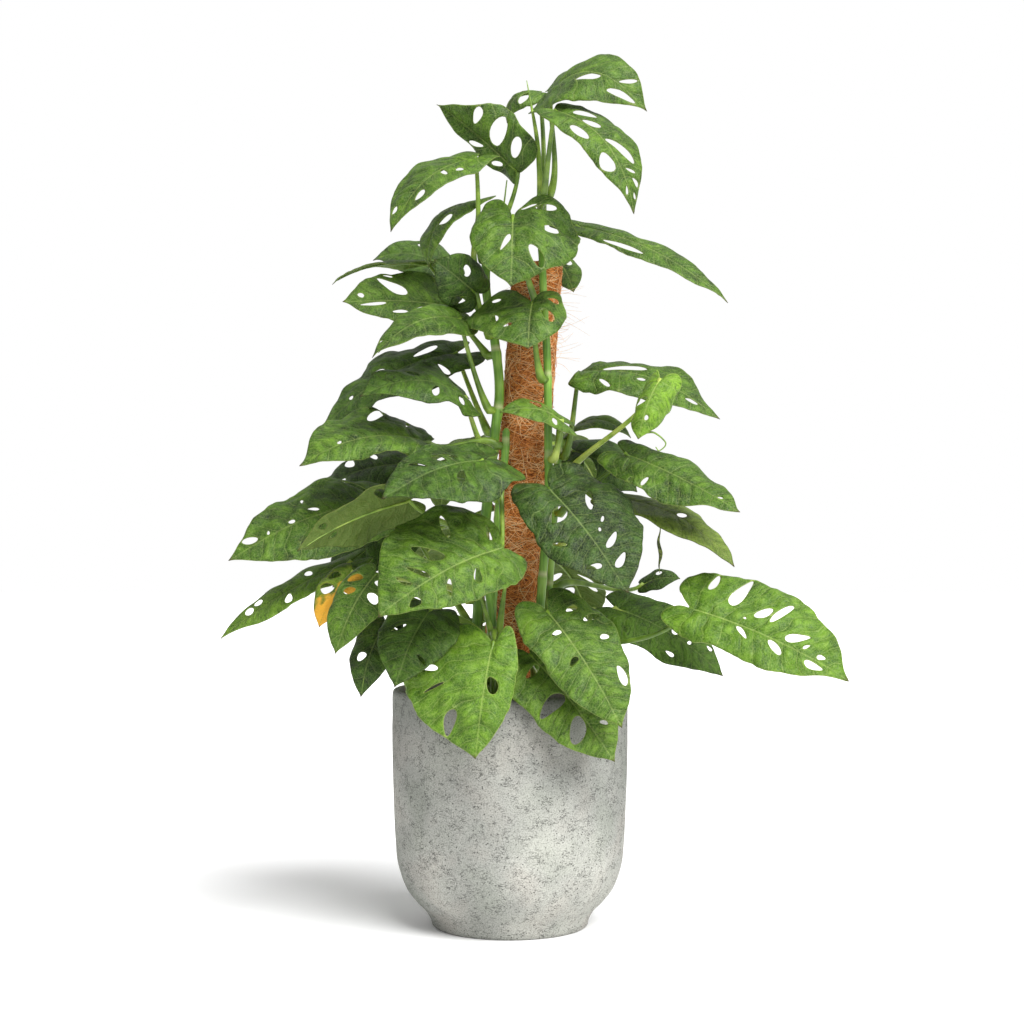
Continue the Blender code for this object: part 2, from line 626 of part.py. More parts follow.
def blade_holes(leaf):
    """Outlines of the holes between the side veins, as closed point lists."""
    draw = random.Random(leaf.name)
    holes = []
    for sign, count in zip((1, -1), leaf.holes):
        share = leaf.split if sign > 0 else 1 - leaf.split
        half = leaf.width * share
        for number in range(count):
            first, last = HOLE_ROOTS
            root = first + (last - first) * (number + 0.5) / count
            root += draw.uniform(-0.02, 0.02)
            middle = 0.50 + draw.uniform(-0.04, 0.04)
            centre = root + VEIN_SLANT * middle * half / leaf.length
            room = half_width(centre)
            reach = middle * room
            long = HOLE_LONG * room * half * leaf.size * draw.uniform(0.8, 1.1)
            long = min(long, HOLE_LONGEST * room * half)
            short = HOLE_SHORT * leaf.length / count * draw.uniform(0.75, 1.0)
            short = min(short * leaf.size, 0.55 * long,
                        HOLE_WIDEST * leaf.length / count)
            lean = math.atan2(1.0, VEIN_SLANT * 1.3)
            points = []
            for step in range(HOLE_SIDES):
                angle = 2 * math.pi * step / HOLE_SIDES
                down = long * math.cos(angle)
                over = short * math.sin(angle)
                along = down * math.cos(lean) + over * math.sin(lean)
                out = down * math.sin(lean) - over * math.cos(lean)
                points.append((centre + along / leaf.length, sign * (reach + out / half)))
            holes.append(points)
    return holes


def inside(point, loop):
    """Whether a point lies inside a closed loop, in the flat blade's plane."""
    within = False
    x, y = point
    for (x1, y1), (x2, y2) in zip(loop, loop[1:] + loop[:1]):
        if (y1 > y) != (y2 > y) and x < (x2 - x1) * (y - y1) / (y2 - y1) + x1:
            within = not within
    return within


def flat_triangles(leaf):
    """The blade cut into triangles round its holes, in (place, reach) terms."""
    outline = blade_outline(leaf)
    holes = blade_holes(leaf)
    points = list(outline)
    edges = [(step, (step + 1) % len(outline)) for step in range(len(outline))]
    for hole in holes:
        start = len(points)
        points += hole
        edges += [(start + step, start + (step + 1) % len(hole))
                  for step in range(len(hole))]
    spine = [0]
    for place in MIDRIB_STEPS:
        spine.append(len(points))
        points.append((place, 0.0))
    spine.append(len(HALF_OUTLINE) + 1)
    edges += list(zip(spine, spine[1:]))
    stretch = Vector((leaf.length, leaf.width / 2))
    flat = [Vector((place * stretch.x, reach * stretch.y)) for place, reach in points]
    verts, _, faces, origins, _, _ = delaunay_2d_cdt(flat, edges, [], 1, 1e-7)
    params = [(vert.x / stretch.x, vert.y / stretch.y) for vert in verts]
    kept = []
    for face in faces:
        middle = tuple(sum(params[corner][axis] for corner in face) / 3 for axis in (0, 1))
        if inside(middle, outline) and not any(inside(middle, hole) for hole in holes):
            kept.append(face)
    return params, kept


def build_blade(leaf):
    """A closed blade, cut alike on both faces, with walls round edge and holes."""
    params, faces = flat_triangles(leaf)
    mesh_data = bmesh.new()
    upper = {}
    lower = {}
    for corner in sorted({corner for face in faces for corner in face}):
        place, reach = params[corner]
        middle = blade_point(leaf, place, reach)
        normal = blade_normal(leaf, place, reach) * BLADE_THICKNESS / 2
        upper[corner] = mesh_data.verts.new(middle + normal)
        lower[corner] = mesh_data.verts.new(middle - normal)
    used = {}
    for face in faces:
        mesh_data.faces.new([upper[corner] for corner in face])
        mesh_data.faces.new([lower[corner] for corner in reversed(face)])
        for start, stop in zip(face, list(face[1:]) + [face[0]]):
            used[(start, stop)] = used.get((start, stop), 0) + 1
    for start, stop in used:
        if (stop, start) not in used:
            mesh_data.faces.new((upper[start], lower[start], lower[stop]))
            mesh_data.faces.new((upper[start], lower[stop], upper[stop]))
    bmesh.ops.recalc_face_normals(mesh_data, faces=mesh_data.faces)
    return mesh_data


def stalk_path(leaf):
    """The stalk's curve: out from the stem, up, and along the blade's root."""
    centre, radius, heading = stem_at(leaf.stem, leaf.hang)
    toward = leaf.base - centre
    flat = (toward - heading * toward.dot(heading)).normalized()
    start = centre + flat * (radius + GAP)
    first = start + flat * STALK_SQUARE_OUT
    length = (leaf.base - first).length
    rising = flat * 0.4 + Vector((0, 0, 0.6))
    root = midrib(leaf, 0.0)[1]
    arrive = ((leaf.base - first).normalized() * 0.5 + Vector((0, 0, 0.5))
              + root * 0.15).normalized()
    bend_low = first + rising * length * STALK_LOW_BEND + leaf.bend
    bend_high = leaf.base - arrive * length * STALK_HIGH_BEND + leaf.bend * 0.5
    path = [start, first]
    for step in range(1, STALK_RINGS + 1):
        t = step / STALK_RINGS
        path.append(first * (1 - t) ** 3 + bend_low * 3 * t * (1 - t) ** 2
                    + bend_high * 3 * t * t * (1 - t) + leaf.base * t ** 3)
    path.append(midrib(leaf, STALK_INTO_BLADE)[0])
    return path


def build_leaf(leaf):
    look = material(leaf.name + "_green", TONES[leaf.tone], 0.4)
    blade = add_object(leaf.name, build_blade(leaf), look)
    path = stalk_path(leaf)
    wide, thin = STALK_RADIUS
    radii = [wide + (thin - wide) * step / (len(path) - 1) for step in range(len(path))]
    radii[-1] = STALK_END_RADIUS
    stalk = add_object("stalk", tube(path, radii, STALK_SIDES), look)
    return join_solids(blade, [stalk])


def main():
    clear_scene()
    build_pot()
    build_soil()
    build_pole()
    for name in STEMS:
        build_stem(name)
    for leaf in LEAVES:
        build_leaf(leaf)


main()
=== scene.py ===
# %% [markdown]
# # A Swiss cheese vine on a coir pole, in a cast concrete pot
#
# The CAD model holds every piece of the plant as a plain solid in its place: the pot, the soil,
# the pole's rod and coir, six stems and 49 leaves with their stalks. This script dresses that
# model. Each solid is replaced by a finer piece that keeps its form and place, and gets the
# finish of the real one. We work in metres, with the pot's foot at the origin.

# %% Load the CAD model as a fixed frame
import math
import random
from functools import partial

import bmesh
import bpy
import numpy as np
from mathutils import Matrix, Vector, noise
from mathutils.geometry import delaunay_2d_cdt


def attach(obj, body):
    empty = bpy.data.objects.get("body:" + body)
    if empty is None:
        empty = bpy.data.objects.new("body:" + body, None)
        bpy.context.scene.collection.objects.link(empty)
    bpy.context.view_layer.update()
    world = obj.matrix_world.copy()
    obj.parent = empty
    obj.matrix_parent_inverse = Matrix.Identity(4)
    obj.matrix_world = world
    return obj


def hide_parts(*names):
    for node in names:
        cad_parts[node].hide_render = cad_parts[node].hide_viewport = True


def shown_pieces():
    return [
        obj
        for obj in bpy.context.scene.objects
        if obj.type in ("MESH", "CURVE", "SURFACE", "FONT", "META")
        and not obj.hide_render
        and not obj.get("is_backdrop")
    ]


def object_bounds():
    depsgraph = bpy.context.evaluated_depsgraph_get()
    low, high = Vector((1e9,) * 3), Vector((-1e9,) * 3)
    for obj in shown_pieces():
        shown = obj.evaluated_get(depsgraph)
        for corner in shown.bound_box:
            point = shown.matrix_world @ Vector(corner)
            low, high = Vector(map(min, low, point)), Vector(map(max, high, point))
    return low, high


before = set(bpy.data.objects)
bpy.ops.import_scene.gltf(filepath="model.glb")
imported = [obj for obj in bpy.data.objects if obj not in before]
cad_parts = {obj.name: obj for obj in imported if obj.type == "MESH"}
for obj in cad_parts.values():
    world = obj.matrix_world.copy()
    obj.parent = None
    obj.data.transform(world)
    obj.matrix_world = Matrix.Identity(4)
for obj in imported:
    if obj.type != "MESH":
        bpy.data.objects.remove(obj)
cad_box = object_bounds()
print("CAD pieces:", len(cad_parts))

# %% [markdown]
# ## The camera
#
# The picture was taken level, from the height of the plant's middle, about 2.2 m away with a
# short telephoto lens. Making the camera first lets us compare each new piece with the photo.

# %% Camera
CAMERA_PLACE = (0.0023, -2.217, 0.471)
SENSOR_WIDTH = 36      # mm
FOCAL_LENGTH = 68.13   # mm
bpy.ops.object.camera_add(location=CAMERA_PLACE, rotation=(math.radians(90), 0, 0))
camera = bpy.context.object
camera.data.sensor_width = SENSOR_WIDTH
camera.data.lens = FOCAL_LENGTH
bpy.context.scene.camera = camera
print("camera", tuple(camera.location), "lens", camera.data.lens)

# %% [markdown]
# ## Small helpers
#
# Blender's colours are linear, while a colour given here is an sRGB hex value, so one
# function turns hex into linear. Another adds a shader node with its settings and its links in
# one call, which keeps each material short enough to read, and a third makes the many plain
# finishes whose colour follows one noise. The last one hands a finished mesh over to the frame:
# it lies at the origin, rides on the body, and stands for its CAD solid.

# %% Helpers for colour, nodes and pieces
MM = 0.001
# The output that a link takes from a node, where it is not the first
MAIN_OUTPUT = {"ShaderNodeAttribute": "Fac", "ShaderNodeMix": 2}


def linear(code):
    made = []
    for start in (1, 3, 5):
        value = int(code[start:start + 2], 16) / 255
        made.append(value / 12.92 if value <= 0.04045 else ((value + 0.055) / 1.055) ** 2.4)
    return (*made, 1.0)


def fill(node, settings=None, links=None):
    """Set a node's fields or inputs, and link its inputs to other nodes or their sockets."""
    for key, value in (settings or {}).items():
        if key == "stops":
            ramp = node.color_ramp.elements
            while len(ramp) < len(value):
                ramp.new(0.5)
            for stop, (place, colour) in zip(ramp, value):
                stop.position = place
                stop.color = linear(colour) if isinstance(colour, str) else (*[colour] * 3, 1)
        elif isinstance(key, str) and hasattr(node, key):
            setattr(node, key, value)
        else:
            node.inputs[key].default_value = value
    for key, source in (links or {}).items():
        if isinstance(source, bpy.types.Node):
            source = source.outputs[MAIN_OUTPUT.get(source.bl_idname, 0)]
        node.id_data.links.new(source, node.inputs[key])
    return node


def add_node(tree, kind, settings=None, links=None):
    return fill(tree.nodes.new("ShaderNode" + kind), settings, links)


def new_finish(name):
    """A new material: itself, what adds a node to it, its shader, and the surface's place."""
    made = bpy.data.materials.new(name)
    made.use_nodes = True
    add = partial(add_node, made.node_tree)
    place = add("TexCoord").outputs["Object"]
    return made, add, made.node_tree.nodes["Principled BSDF"], place


def noise_finish(name, grain, stops, settings, stretch=None, dent=None):
    """A finish that follows one noise; dent is how strongly and how deep it presses."""
    made, add, shader, place = new_finish(name)
    if stretch:
        place = add("Mapping", {"Scale": stretch}, {"Vector": place})
    speck = add("TexNoise", grain, {"Vector": place})
    colour = add("ValToRGB", {"stops": stops}, {"Fac": speck})
    fill(shader, settings, {"Base Color": colour})
    if dent:
        bump = add("Bump", {"Strength": dent[0], "Distance": dent[1]}, {"Height": speck})
        fill(shader, None, {"Normal": bump})
    return made


def painted(add, base, number, stops, code):
    """Paint a colour over a base; the stops say how strongly for each value of a number."""
    strength = add("ValToRGB", {"stops": stops}, {"Fac": number})
    return add("Mix", {"data_type": "RGBA", 7: linear(code)}, {0: strength, 6: base})


def deselect_all():
    bpy.ops.object.select_all(action="DESELECT")


def show_only(thing):
    deselect_all()
    thing.select_set(True)
    bpy.context.view_layer.objects.active = thing


def apply_steps(thing):
    """Apply every modifier of a piece, in order."""
    show_only(thing)
    for step in list(thing.modifiers):
        bpy.ops.object.modifier_apply(modifier=step.name)


def settle(thing, name, finish=None, stands_for=None):
    """Leave the piece at the origin, named, finished, and riding on the plant's one body."""
    show_only(thing)
    bpy.ops.object.transform_apply(location=True, rotation=True, scale=True)
    thing.name = name
    thing.data.name = name
    if finish:
        thing.data.materials.clear()
        thing.data.materials.append(finish)
    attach(thing, "root")
    if stands_for:
        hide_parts(stands_for)
    count = sum(len(face.vertices) - 2 for face in thing.data.polygons)
    print(f"{name}: {count} triangles")
    return thing


def move_points(thing, change):
    """Move each vertex by what change(place, normal) gives."""
    normals = [vert.normal.copy() for vert in thing.data.vertices]
    for vert, normal in zip(thing.data.vertices, normals):
        vert.co += change(vert.co.copy(), normal)
    thing.data.update()


def turned_body(name, profile, steps):
    """Spin a closed outline of (radius, height) round Z, as on a potter's wheel."""
    deselect_all()
    bpy.ops.mesh.primitive_circle_add(vertices=len(profile), radius=0.1)
    thing = bpy.context.object
    for vert, (radius, height) in zip(thing.data.vertices, profile):
        vert.co = (radius, 0, height)
    bpy.ops.object.mode_set(mode="EDIT")
    bpy.ops.mesh.select_all(action="SELECT")
    bpy.ops.mesh.spin(steps=steps, angle=2 * math.pi, center=(0, 0, 0), axis=(0, 0, 1))
    bpy.ops.mesh.select_all(action="SELECT")
    bpy.ops.mesh.remove_doubles(threshold=0.00002)
    bpy.ops.mesh.dissolve_degenerate(threshold=0.00001)
    bpy.ops.mesh.select_all(action="SELECT")
    bpy.ops.mesh.normals_make_consistent(inside=False)
    bpy.ops.object.mode_set(mode="OBJECT")
    bpy.ops.object.shade_smooth()
    thing.name = name
    return thing


def smooth_line(points, step):
    """Points of a curve through the given ones, about step apart (Catmull-Rom)."""
    points = [np.array(point, float) for point in points]
    ends = [points[0] * 2 - points[1]] + points + [points[-1] * 2 - points[-2]]
    path = []
    for before, start, stop, after in zip(ends, ends[1:], ends[2:], ends[3:]):
        parts = max(1, round(float(np.linalg.norm(stop - start)) / step))
        for part in range(parts):
            t = part / parts
            path.append(0.5 * (2 * start + (stop - before) * t
                               + (2 * before - 5 * start + 4 * stop - after) * t * t
                               + (3 * start - before - 3 * stop + after) * t * t * t))
    path.append(points[-1])
    return path


def unit(vector):
    return vector / max(float(np.linalg.norm(vector)), 1e-12)


# %% [markdown]
# ## The pot
#
# The pot is cast concrete with a rounded foot, nearly straight walls and a soft rim. A round
# body could be a cylinder shaped with loop cuts or a lathe modifier. Here we spin its closed
# outline once, since the outline is exactly what the photo shows, and then press the surface
# by a fraction of a millimetre, because a cast wall is never quite true.

# %% Pot shape
POT_STEPS = 160
POT_OUTLINE = [
    (0.0862, 0.0), (0.0890, 0.0018), (0.0903, 0.0060), (0.0930, 0.0120), (0.0985, 0.0200),
    (0.1050, 0.0262), (0.1110, 0.0330), (0.1170, 0.0410), (0.1215, 0.0500), (0.1255, 0.0610),
    (0.1285, 0.0730), (0.1305, 0.0900), (0.1320, 0.1120), (0.1333, 0.1520), (0.1345, 0.1960),
    (0.1349, 0.2300), (0.1350, 0.2610), (0.1347, 0.2652), (0.1335, 0.2683), (0.1315, 0.2697),
    (0.1292, 0.2700), (0.1270, 0.2694), (0.1253, 0.2680), (0.1243, 0.2655), (0.1240, 0.2600)]
POT_INSIDE = [(0.1237, 0.2450), (0.1225, 0.1960), (0.1206, 0.1120), (0.1160, 0.0660),
              (0.1080, 0.0420), (0.0960, 0.0290), (0.0830, 0.0215), (0.0700, 0.0200)]


def pressed(place, normal):
    slow = noise.noise(place * 14) * 0.7 * MM
    fine = noise.noise(place * 60) * 0.25 * MM
    edge = noise.noise(place * 120) * 0.35 * MM if place.z > 0.262 else 0.0
    if place.z < 0.002:
        return normal * 0.0
    return normal * (min(slow + fine + edge, 0.1 * MM) - 0.35 * MM)


def denser(outline, step):
    line = smooth_line([(radius, 0, height) for radius, height in outline], step)
    return [(float(point[0]), float(point[2])) for point in line]


pot_line = [(0.0, 0.0)] + denser(POT_OUTLINE, 0.0045) + denser(POT_INSIDE, 0.012) + [(0.0, 0.020)]
pot = turned_body("pot", pot_line, POT_STEPS)
move_points(pot, pressed)

# %% [markdown]
# ### Cast concrete
#
# Concrete cast in a mould is matt. Close up it shows three things: slow grey and faintly pink
# or green clouds where the paste dried unevenly, sand grains about 1 mm wide, and pin holes and
# short wormy cracks left by trapped air, dark with painted shade. The holes are 1 to 3 mm, so
# they also sink.

# %% Cast concrete finish
concrete, add, shader, place = new_finish("cast_concrete_with_pin_holes")
cloud = add("TexNoise", {"Scale": 9.0, "Detail": 3.0, "Roughness": 0.5}, {"Vector": place})
grey = add("ValToRGB", {"stops": [(0.30, "#7a7c76"), (0.48, "#92938d"), (0.66, "#adada5")]},
           {"Fac": cloud})
stain = add("TexNoise", {"noise_dimensions": "4D", "Scale": 17.0, "Detail": 2.0, "W": 3.0},
            {"Vector": place})
tint = add("ValToRGB", {"stops": [(0.36, "#7f8478"), (0.50, "#8f8f89"), (0.64, "#9d958d")]},
           {"Fac": stain})
paste = add("Mix", {"data_type": "RGBA", 0: 0.30}, {6: grey, 7: tint})
# Sand grains of about 1 mm
sand = add("TexNoise", {"Scale": 700.0, "Detail": 2.0}, {"Vector": place})
sand_tone = add("ValToRGB", {"stops": [(0.28, 0.06), (0.45, 0.50), (0.70, 0.76)]}, {"Fac": sand})
grained = add("Mix", {"data_type": "RGBA", "blend_type": "OVERLAY", 0: 0.55},
              {6: paste, 7: sand_tone})
# Pin holes: cells of 4 mm, a hole in about one in two
cells = add("TexVoronoi", {"Scale": 240.0, "Randomness": 1.0}, {"Vector": place})
hole = add("ValToRGB", {"stops": [(0.12, 1.0), (0.22, 0.0)]}, {"Fac": cells})
chosen = add("Math", {"operation": "GREATER_THAN", 1: 0.50}, {0: cells.outputs["Color"]})
pin = add("Math", {"operation": "MULTIPLY"}, {0: hole, 1: chosen})
# Wormy cracks: thin level lines of a twisted noise, broken by a second one
level = add("Mapping", {"Scale": (1.0, 1.0, 2.3)}, {"Vector": place})
worm = add("TexNoise", {"Scale": 135.0, "Detail": 3.0, "Distortion": 0.8}, {"Vector": level})
line = add("ValToRGB", {"stops": [(0.470, 0.0), (0.490, 1.0), (0.500, 1.0), (0.520, 0.0)]},
           {"Fac": worm})
broken = add("TexNoise", {"Scale": 75.0, "Detail": 2.0}, {"Vector": place})
kept = add("ValToRGB", {"stops": [(0.49, 0.0), (0.57, 1.0)]}, {"Fac": broken})
crack = add("Math", {"operation": "MULTIPLY"}, {0: line, 1: kept})
sunk = add("Math", {"operation": "MAXIMUM"}, {0: pin, 1: crack})
# Painted shade in the pin holes and cracks
shade = add("Math", {"operation": "MULTIPLY", 1: 0.82}, {0: sunk})
# Painted shade darkens the wall towards the rim, unevenly
axes = add("SeparateXYZ", None, {0: place})
high = add("MapRange", {"From Min": 0.13, "From Max": 0.27, "To Min": 0.0, "To Max": 0.70},
           {"Value": axes.outputs["Z"]})
rim_shade_patches = add("Math", {"operation": "MULTIPLY"}, {0: high, 1: cloud})
rim_shaded = add("Mix", {"data_type": "RGBA", 7: linear("#4e514f")}, {0: rim_shade_patches, 6: grained})
surface = add("Mix", {"data_type": "RGBA", 7: linear("#30312d")}, {0: shade, 6: rim_shaded})
relief = add("Math", {"operation": "MULTIPLY_ADD", 1: -1.6}, {0: sunk, 2: sand})
bump = add("Bump", {"Strength": 0.55, "Distance": 0.9 * MM}, {"Height": relief})
fill(shader, {"Roughness": 0.88, "Specular IOR Level": 0.35},
     {"Base Color": surface, "Normal": bump})
settle(pot, "pot_cast", concrete, "pot")

# %% [markdown]
# ## The potting soil
#
# Soil fills the pot to 35 mm below the rim. A flat disc would look like a lid, so the body is
# spun like the pot, its top is heaved by noise, and loose crumbs of bark and peat lie on it.

# %% Soil body and crumbs
SOIL_TOP = 0.232
SOIL_STEPS = 110
CRUMB_COUNT = 420
CRUMB_REACH = 0.112
SOIL_LINE = [(0.0, 0.0205), (0.0690, 0.0205), (0.0950, 0.0295), (0.1070, 0.0425),
             (0.1150, 0.0665), (0.1200, 0.1120), (0.1228, 0.2240)]
soil_top = [(0.1200 - step * 0.0040, SOIL_TOP) for step in range(30)] + [(0.0, SOIL_TOP)]
soil = turned_body("soil", SOIL_LINE + soil_top, SOIL_STEPS)


def heaved(place, normal):
    if place.z < 0.200:
        return Vector((0, 0, 0))
    height = noise.noise(place * 45) * 4.0 + noise.noise(place * 140) * 2.4
    return Vector((0, 0, min(height, 3.0) * MM))


move_points(soil, heaved)
draw = random.Random(11)
crumbs = bmesh.new()
for _ in range(CRUMB_COUNT):
    angle = draw.uniform(0, 2 * math.pi)
    reach = CRUMB_REACH * math.sqrt(draw.random())
    size = draw.uniform(1.2, 3.4) * MM
    lie = Matrix.Translation((reach * math.cos(angle), reach * math.sin(angle),
                              SOIL_TOP + draw.uniform(0.2, 2.5) * MM))
    turn = Matrix.Rotation(draw.uniform(0, 6), 4, (draw.random(), draw.random(), 1))
    flat = Matrix.Diagonal((1.0, draw.uniform(0.5, 1), draw.uniform(0.4, 0.8), 1))
    bmesh.ops.create_icosphere(crumbs, subdivisions=1, radius=size, matrix=lie @ turn @ flat)
loose = bpy.data.meshes.new("crumbs")
crumbs.to_mesh(loose)
crumbs.free()
crumb_piece = bpy.data.objects.new("crumbs", loose)
bpy.context.scene.collection.objects.link(crumb_piece)

# %% Damp peat and bark finish
peat = noise_finish("damp_peat_and_bark", {"Scale": 260.0, "Detail": 5.0},
                    [(0.34, "#140e09"), (0.52, "#2c1f15"), (0.72, "#4d3826")],
                    {"Roughness": 0.95}, dent=(0.8, 1.2 * MM))
settle(soil, "soil_body", peat, "soil")
settle(crumb_piece, "soil_crumbs", peat)

# %% [markdown]
# ## The pole: a wooden rod in a sleeve of coir
#
# Coconut fibre is wound and matted round a rod. The look is a brown felt with single fibres
# that cross it at all angles, most of them round the pole, and some that stand off in loops.
# The felt is one turned sleeve with a lumpy outside. The fibres are thin three-sided tubes:
# a hair system would look alike but is lost on export, so each fibre is a small mesh.

# %% Rod and sleeve
POLE_START = (-0.0105, 0.005, 0.180)
POLE_FOOT = Vector(POLE_START)
POLE_HEAD = Vector((0.0320, 0.005, 0.756))
POLE_LEAN = 0.0738     # metres to the right for each metre up
COIR_RADIUS = 0.0282
ROD_RADIUS = 0.014
ROD_BELOW = 0.120
SLEEVE_STEPS = 72
pole_length = (POLE_HEAD - POLE_FOOT).length
pole_turn = Vector((0, 0, 1)).rotation_difference(POLE_HEAD - POLE_FOOT)


def pole_axis(height):
    """The point on the pole's axis at a height."""
    across, deep, foot = POLE_START
    return np.array((across + (height - foot) * POLE_LEAN, deep, height))


def lean(thing):
    """Turn an upright piece to the pole's lean and stand it on the pole's foot."""
    thing.matrix_world = Matrix.Translation(POLE_FOOT) @ pole_turn.to_matrix().to_4x4()


def coir_bulge(angle, height):
    turn = Vector((math.cos(angle) * 2.2, math.sin(angle) * 2.2, height * 38))
    return (noise.noise(turn) * 1.1 + noise.noise(turn * 3.1) * 0.5) * MM


deselect_all()
bpy.ops.mesh.primitive_cylinder_add(vertices=40, radius=ROD_RADIUS, depth=pole_length + ROD_BELOW,
                                    location=(0, 0, (pole_length - ROD_BELOW) / 2 - 0.004))
rod = bpy.context.object
rod_edges = rod.modifiers.new("softened", "BEVEL")
rod_edges.width = 0.0012
rod_edges.segments = 3
rod_edges.limit_method = "ANGLE"
apply_steps(rod)
bpy.ops.object.shade_smooth_by_angle(angle=math.radians(40))
bpy.ops.object.transform_apply(location=True, rotation=True, scale=True)
lean(rod)

sleeve_out = [(COIR_RADIUS, 0.004 * step) for step in range(1, 144)]
sleeve_line = ([(0.0145, 0.0), (0.024, 0.0)] + sleeve_out
               + [(0.0272, pole_length - 0.002), (0.024, pole_length - 0.0008),
                  (0.0145, pole_length - 0.002)])
sleeve = turned_body("coir", sleeve_line, SLEEVE_STEPS)


def felted(place, normal):
    if math.hypot(place.x, place.y) < 0.020:
        return Vector((0, 0, 0))
    return normal * coir_bulge(math.atan2(place.y, place.x), place.z)


move_points(sleeve, felted)
lean(sleeve)

# %% Loose coir fibres
FIBRE_COUNT = 3400
FIBRE_RADII = (0.5, 1, 1, 1, 0.9, 0.4)
FIBRE_SIDES = 3
draw = random.Random(5)


def fibre_points(count):
    """One fibre: it lies on the felt, lifts in the middle, and bends as it goes."""
    angle = draw.uniform(0, 2 * math.pi)
    height = draw.uniform(0.045, pole_length - 0.003)
    steep = draw.gauss(0.1, 0.55)
    if draw.random() < 0.28:
        steep = draw.uniform(-1.5, 1.5)
    length = draw.uniform(14, 46) * MM
    curl = draw.gauss(0, 28)
    lift = abs(draw.gauss(0.4, 0.7)) * MM
    if draw.random() < 0.05:
        lift = draw.uniform(2.0, 5.0) * MM
    points = []
    for step in range(count):
        share = step / (count - 1)
        reach = COIR_RADIUS + coir_bulge(angle, height) + 0.1 * MM
        reach += lift * math.sin(math.pi * share) * (0.4 + 0.6 * share)
        points.append(np.array((reach * math.cos(angle), reach * math.sin(angle),
                                min(max(height, 0.002), pole_length - 0.001))))
        going = steep + curl * length * (share - 0.5)
        angle += math.cos(going) * length / (count - 1) / COIR_RADIUS
        height += math.sin(going) * length / (count - 1)
    return points


def tube_rings(path, radii, sides, across=None):
    """Rings of points round a path, carried along without twist."""
    rings = []
    for number, point in enumerate(path):
        ahead = path[min(number + 1, len(path) - 1)] - path[max(number - 1, 0)]
        heading = unit(ahead)
        if across is None:
            start = np.array((1.0, 0, 0)) if abs(heading[0]) < 0.8 else np.array((0, 1.0, 0))
            across = np.cross(start, heading)
        across = unit(across - heading * float(across @ heading))
        rise = np.cross(heading, across)
        turns = np.arange(sides) * 2 * math.pi / sides
        rings.append(point + radii[number] * (np.outer(np.cos(turns), across)
                                              + np.outer(np.sin(turns), rise)))
    return np.array(rings)


def tube_faces(count, sides, start=0):
    """Faces of a closed tube whose rings lie one after another from vertex start."""
    faces = []
    for ring in range(count - 1):
        for side in range(sides):
            after = (side + 1) % sides
            low = start + ring * sides
            faces.append((low + side, low + after, low + sides + after, low + sides + side))
    faces.append(tuple(start + side for side in reversed(range(sides))))
    faces.append(tuple(start + (count - 1) * sides + side for side in range(sides)))
    return faces


def mesh_piece(name, points, faces, values=None):
    """A mesh from points and faces, with a number for each point in each named list."""
    mesh = bpy.data.meshes.new(name)
    mesh.from_pydata([tuple(map(float, point)) for point in points], [], faces)
    for key, numbers in (values or {}).items():
        layer = mesh.attributes.new(key, "FLOAT", "POINT")
        layer.data.foreach_set("value", np.array(numbers, np.float32))
    thing = bpy.data.objects.new(name, mesh)
    bpy.context.scene.collection.objects.link(thing)
    show_only(thing)
    bpy.ops.object.shade_smooth()
    return thing


def tube_piece(name, path, radii, sides, values):
    """A mesh of one tube along a path."""
    rings = tube_rings(path, radii, sides)
    return mesh_piece(name, list(rings.reshape(-1, 3)), tube_faces(len(path), sides), values)


points = []
faces = []
tones = []
for _ in range(FIBRE_COUNT):
    line = fibre_points(len(FIBRE_RADII))
    wide = draw.uniform(0.20, 0.42) * MM
    rings = tube_rings(line, [wide * share for share in FIBRE_RADII], FIBRE_SIDES)
    faces += tube_faces(len(line), FIBRE_SIDES, len(points))
    points += list(rings.reshape(-1, 3))
    tones += [draw.random()] * len(line) * FIBRE_SIDES
fibres = mesh_piece("fibres", points, faces, {"tone": tones})
lean(fibres)

# %% [markdown]
# ### Coir, and the rod's bare wood
#
# Coir is dry and matt, reddish brown in the shade of the mat and straw brown on loose fibres.
# Each fibre carries its own number from 0 to 1, which picks its colour. The felt below reads
# the place on the surface, in streaks 1 mm wide that run round the pole.

# %% Coir and wood finishes
coir_felt = noise_finish("matted_coir", {"Scale": 1.0, "Detail": 4.0, "Distortion": 1.2},
                         [(0.34, "#2c1307"), (0.48, "#96501f"), (0.62, "#e09650")],
                         {"Roughness": 0.95, "Specular IOR Level": 0.2},
                         stretch=(260.0, 260.0, 900.0), dent=(1.0, 1.0 * MM))

coir_fibre, add, shader, place = new_finish("single_coir_fibres")
own = add("Attribute", {"attribute_name": "tone"})
patch = add("TexNoise", {"Scale": 35.0, "Detail": 2.0}, {"Vector": place})
mixed = add("Math", {"operation": "MULTIPLY_ADD", 1: 0.72}, {0: own, 2: patch})
straw = add("ValToRGB",
            {"stops": [(0.35, "#86421b"), (0.60, "#d0803f"), (0.85, "#edab69"), (1.0, "#f0cb98")]},
            {"Fac": mixed})
fill(shader, {"Roughness": 0.75, "Specular IOR Level": 0.25}, {"Base Color": straw})

bare_wood = noise_finish("sawn_pine_rod", {"Scale": 1.0, "Detail": 3.0},
                         [(0.35, "#5f4126"), (0.65, "#92703f")], {"Roughness": 0.8},
                         stretch=(300.0, 300.0, 12.0))
settle(rod, "rod_wood", bare_wood, "pole_rod")
settle(sleeve, "coir_felt", coir_felt, "coir_sleeve")
settle(fibres, "coir_fibres", coir_fibre)

# %% [markdown]
# ## The climbing stems
#
# Six stems climb the pole. A stem is a smooth green rod that thickens at each joint where a
# leaf leaves it, with a pale scar just above the joint. We could draw Bezier curves by hand.
# The CAD model already gives each stem as points, so a tube is swept along the same curve, and
# its radius swells at the heights where the leaves hang.

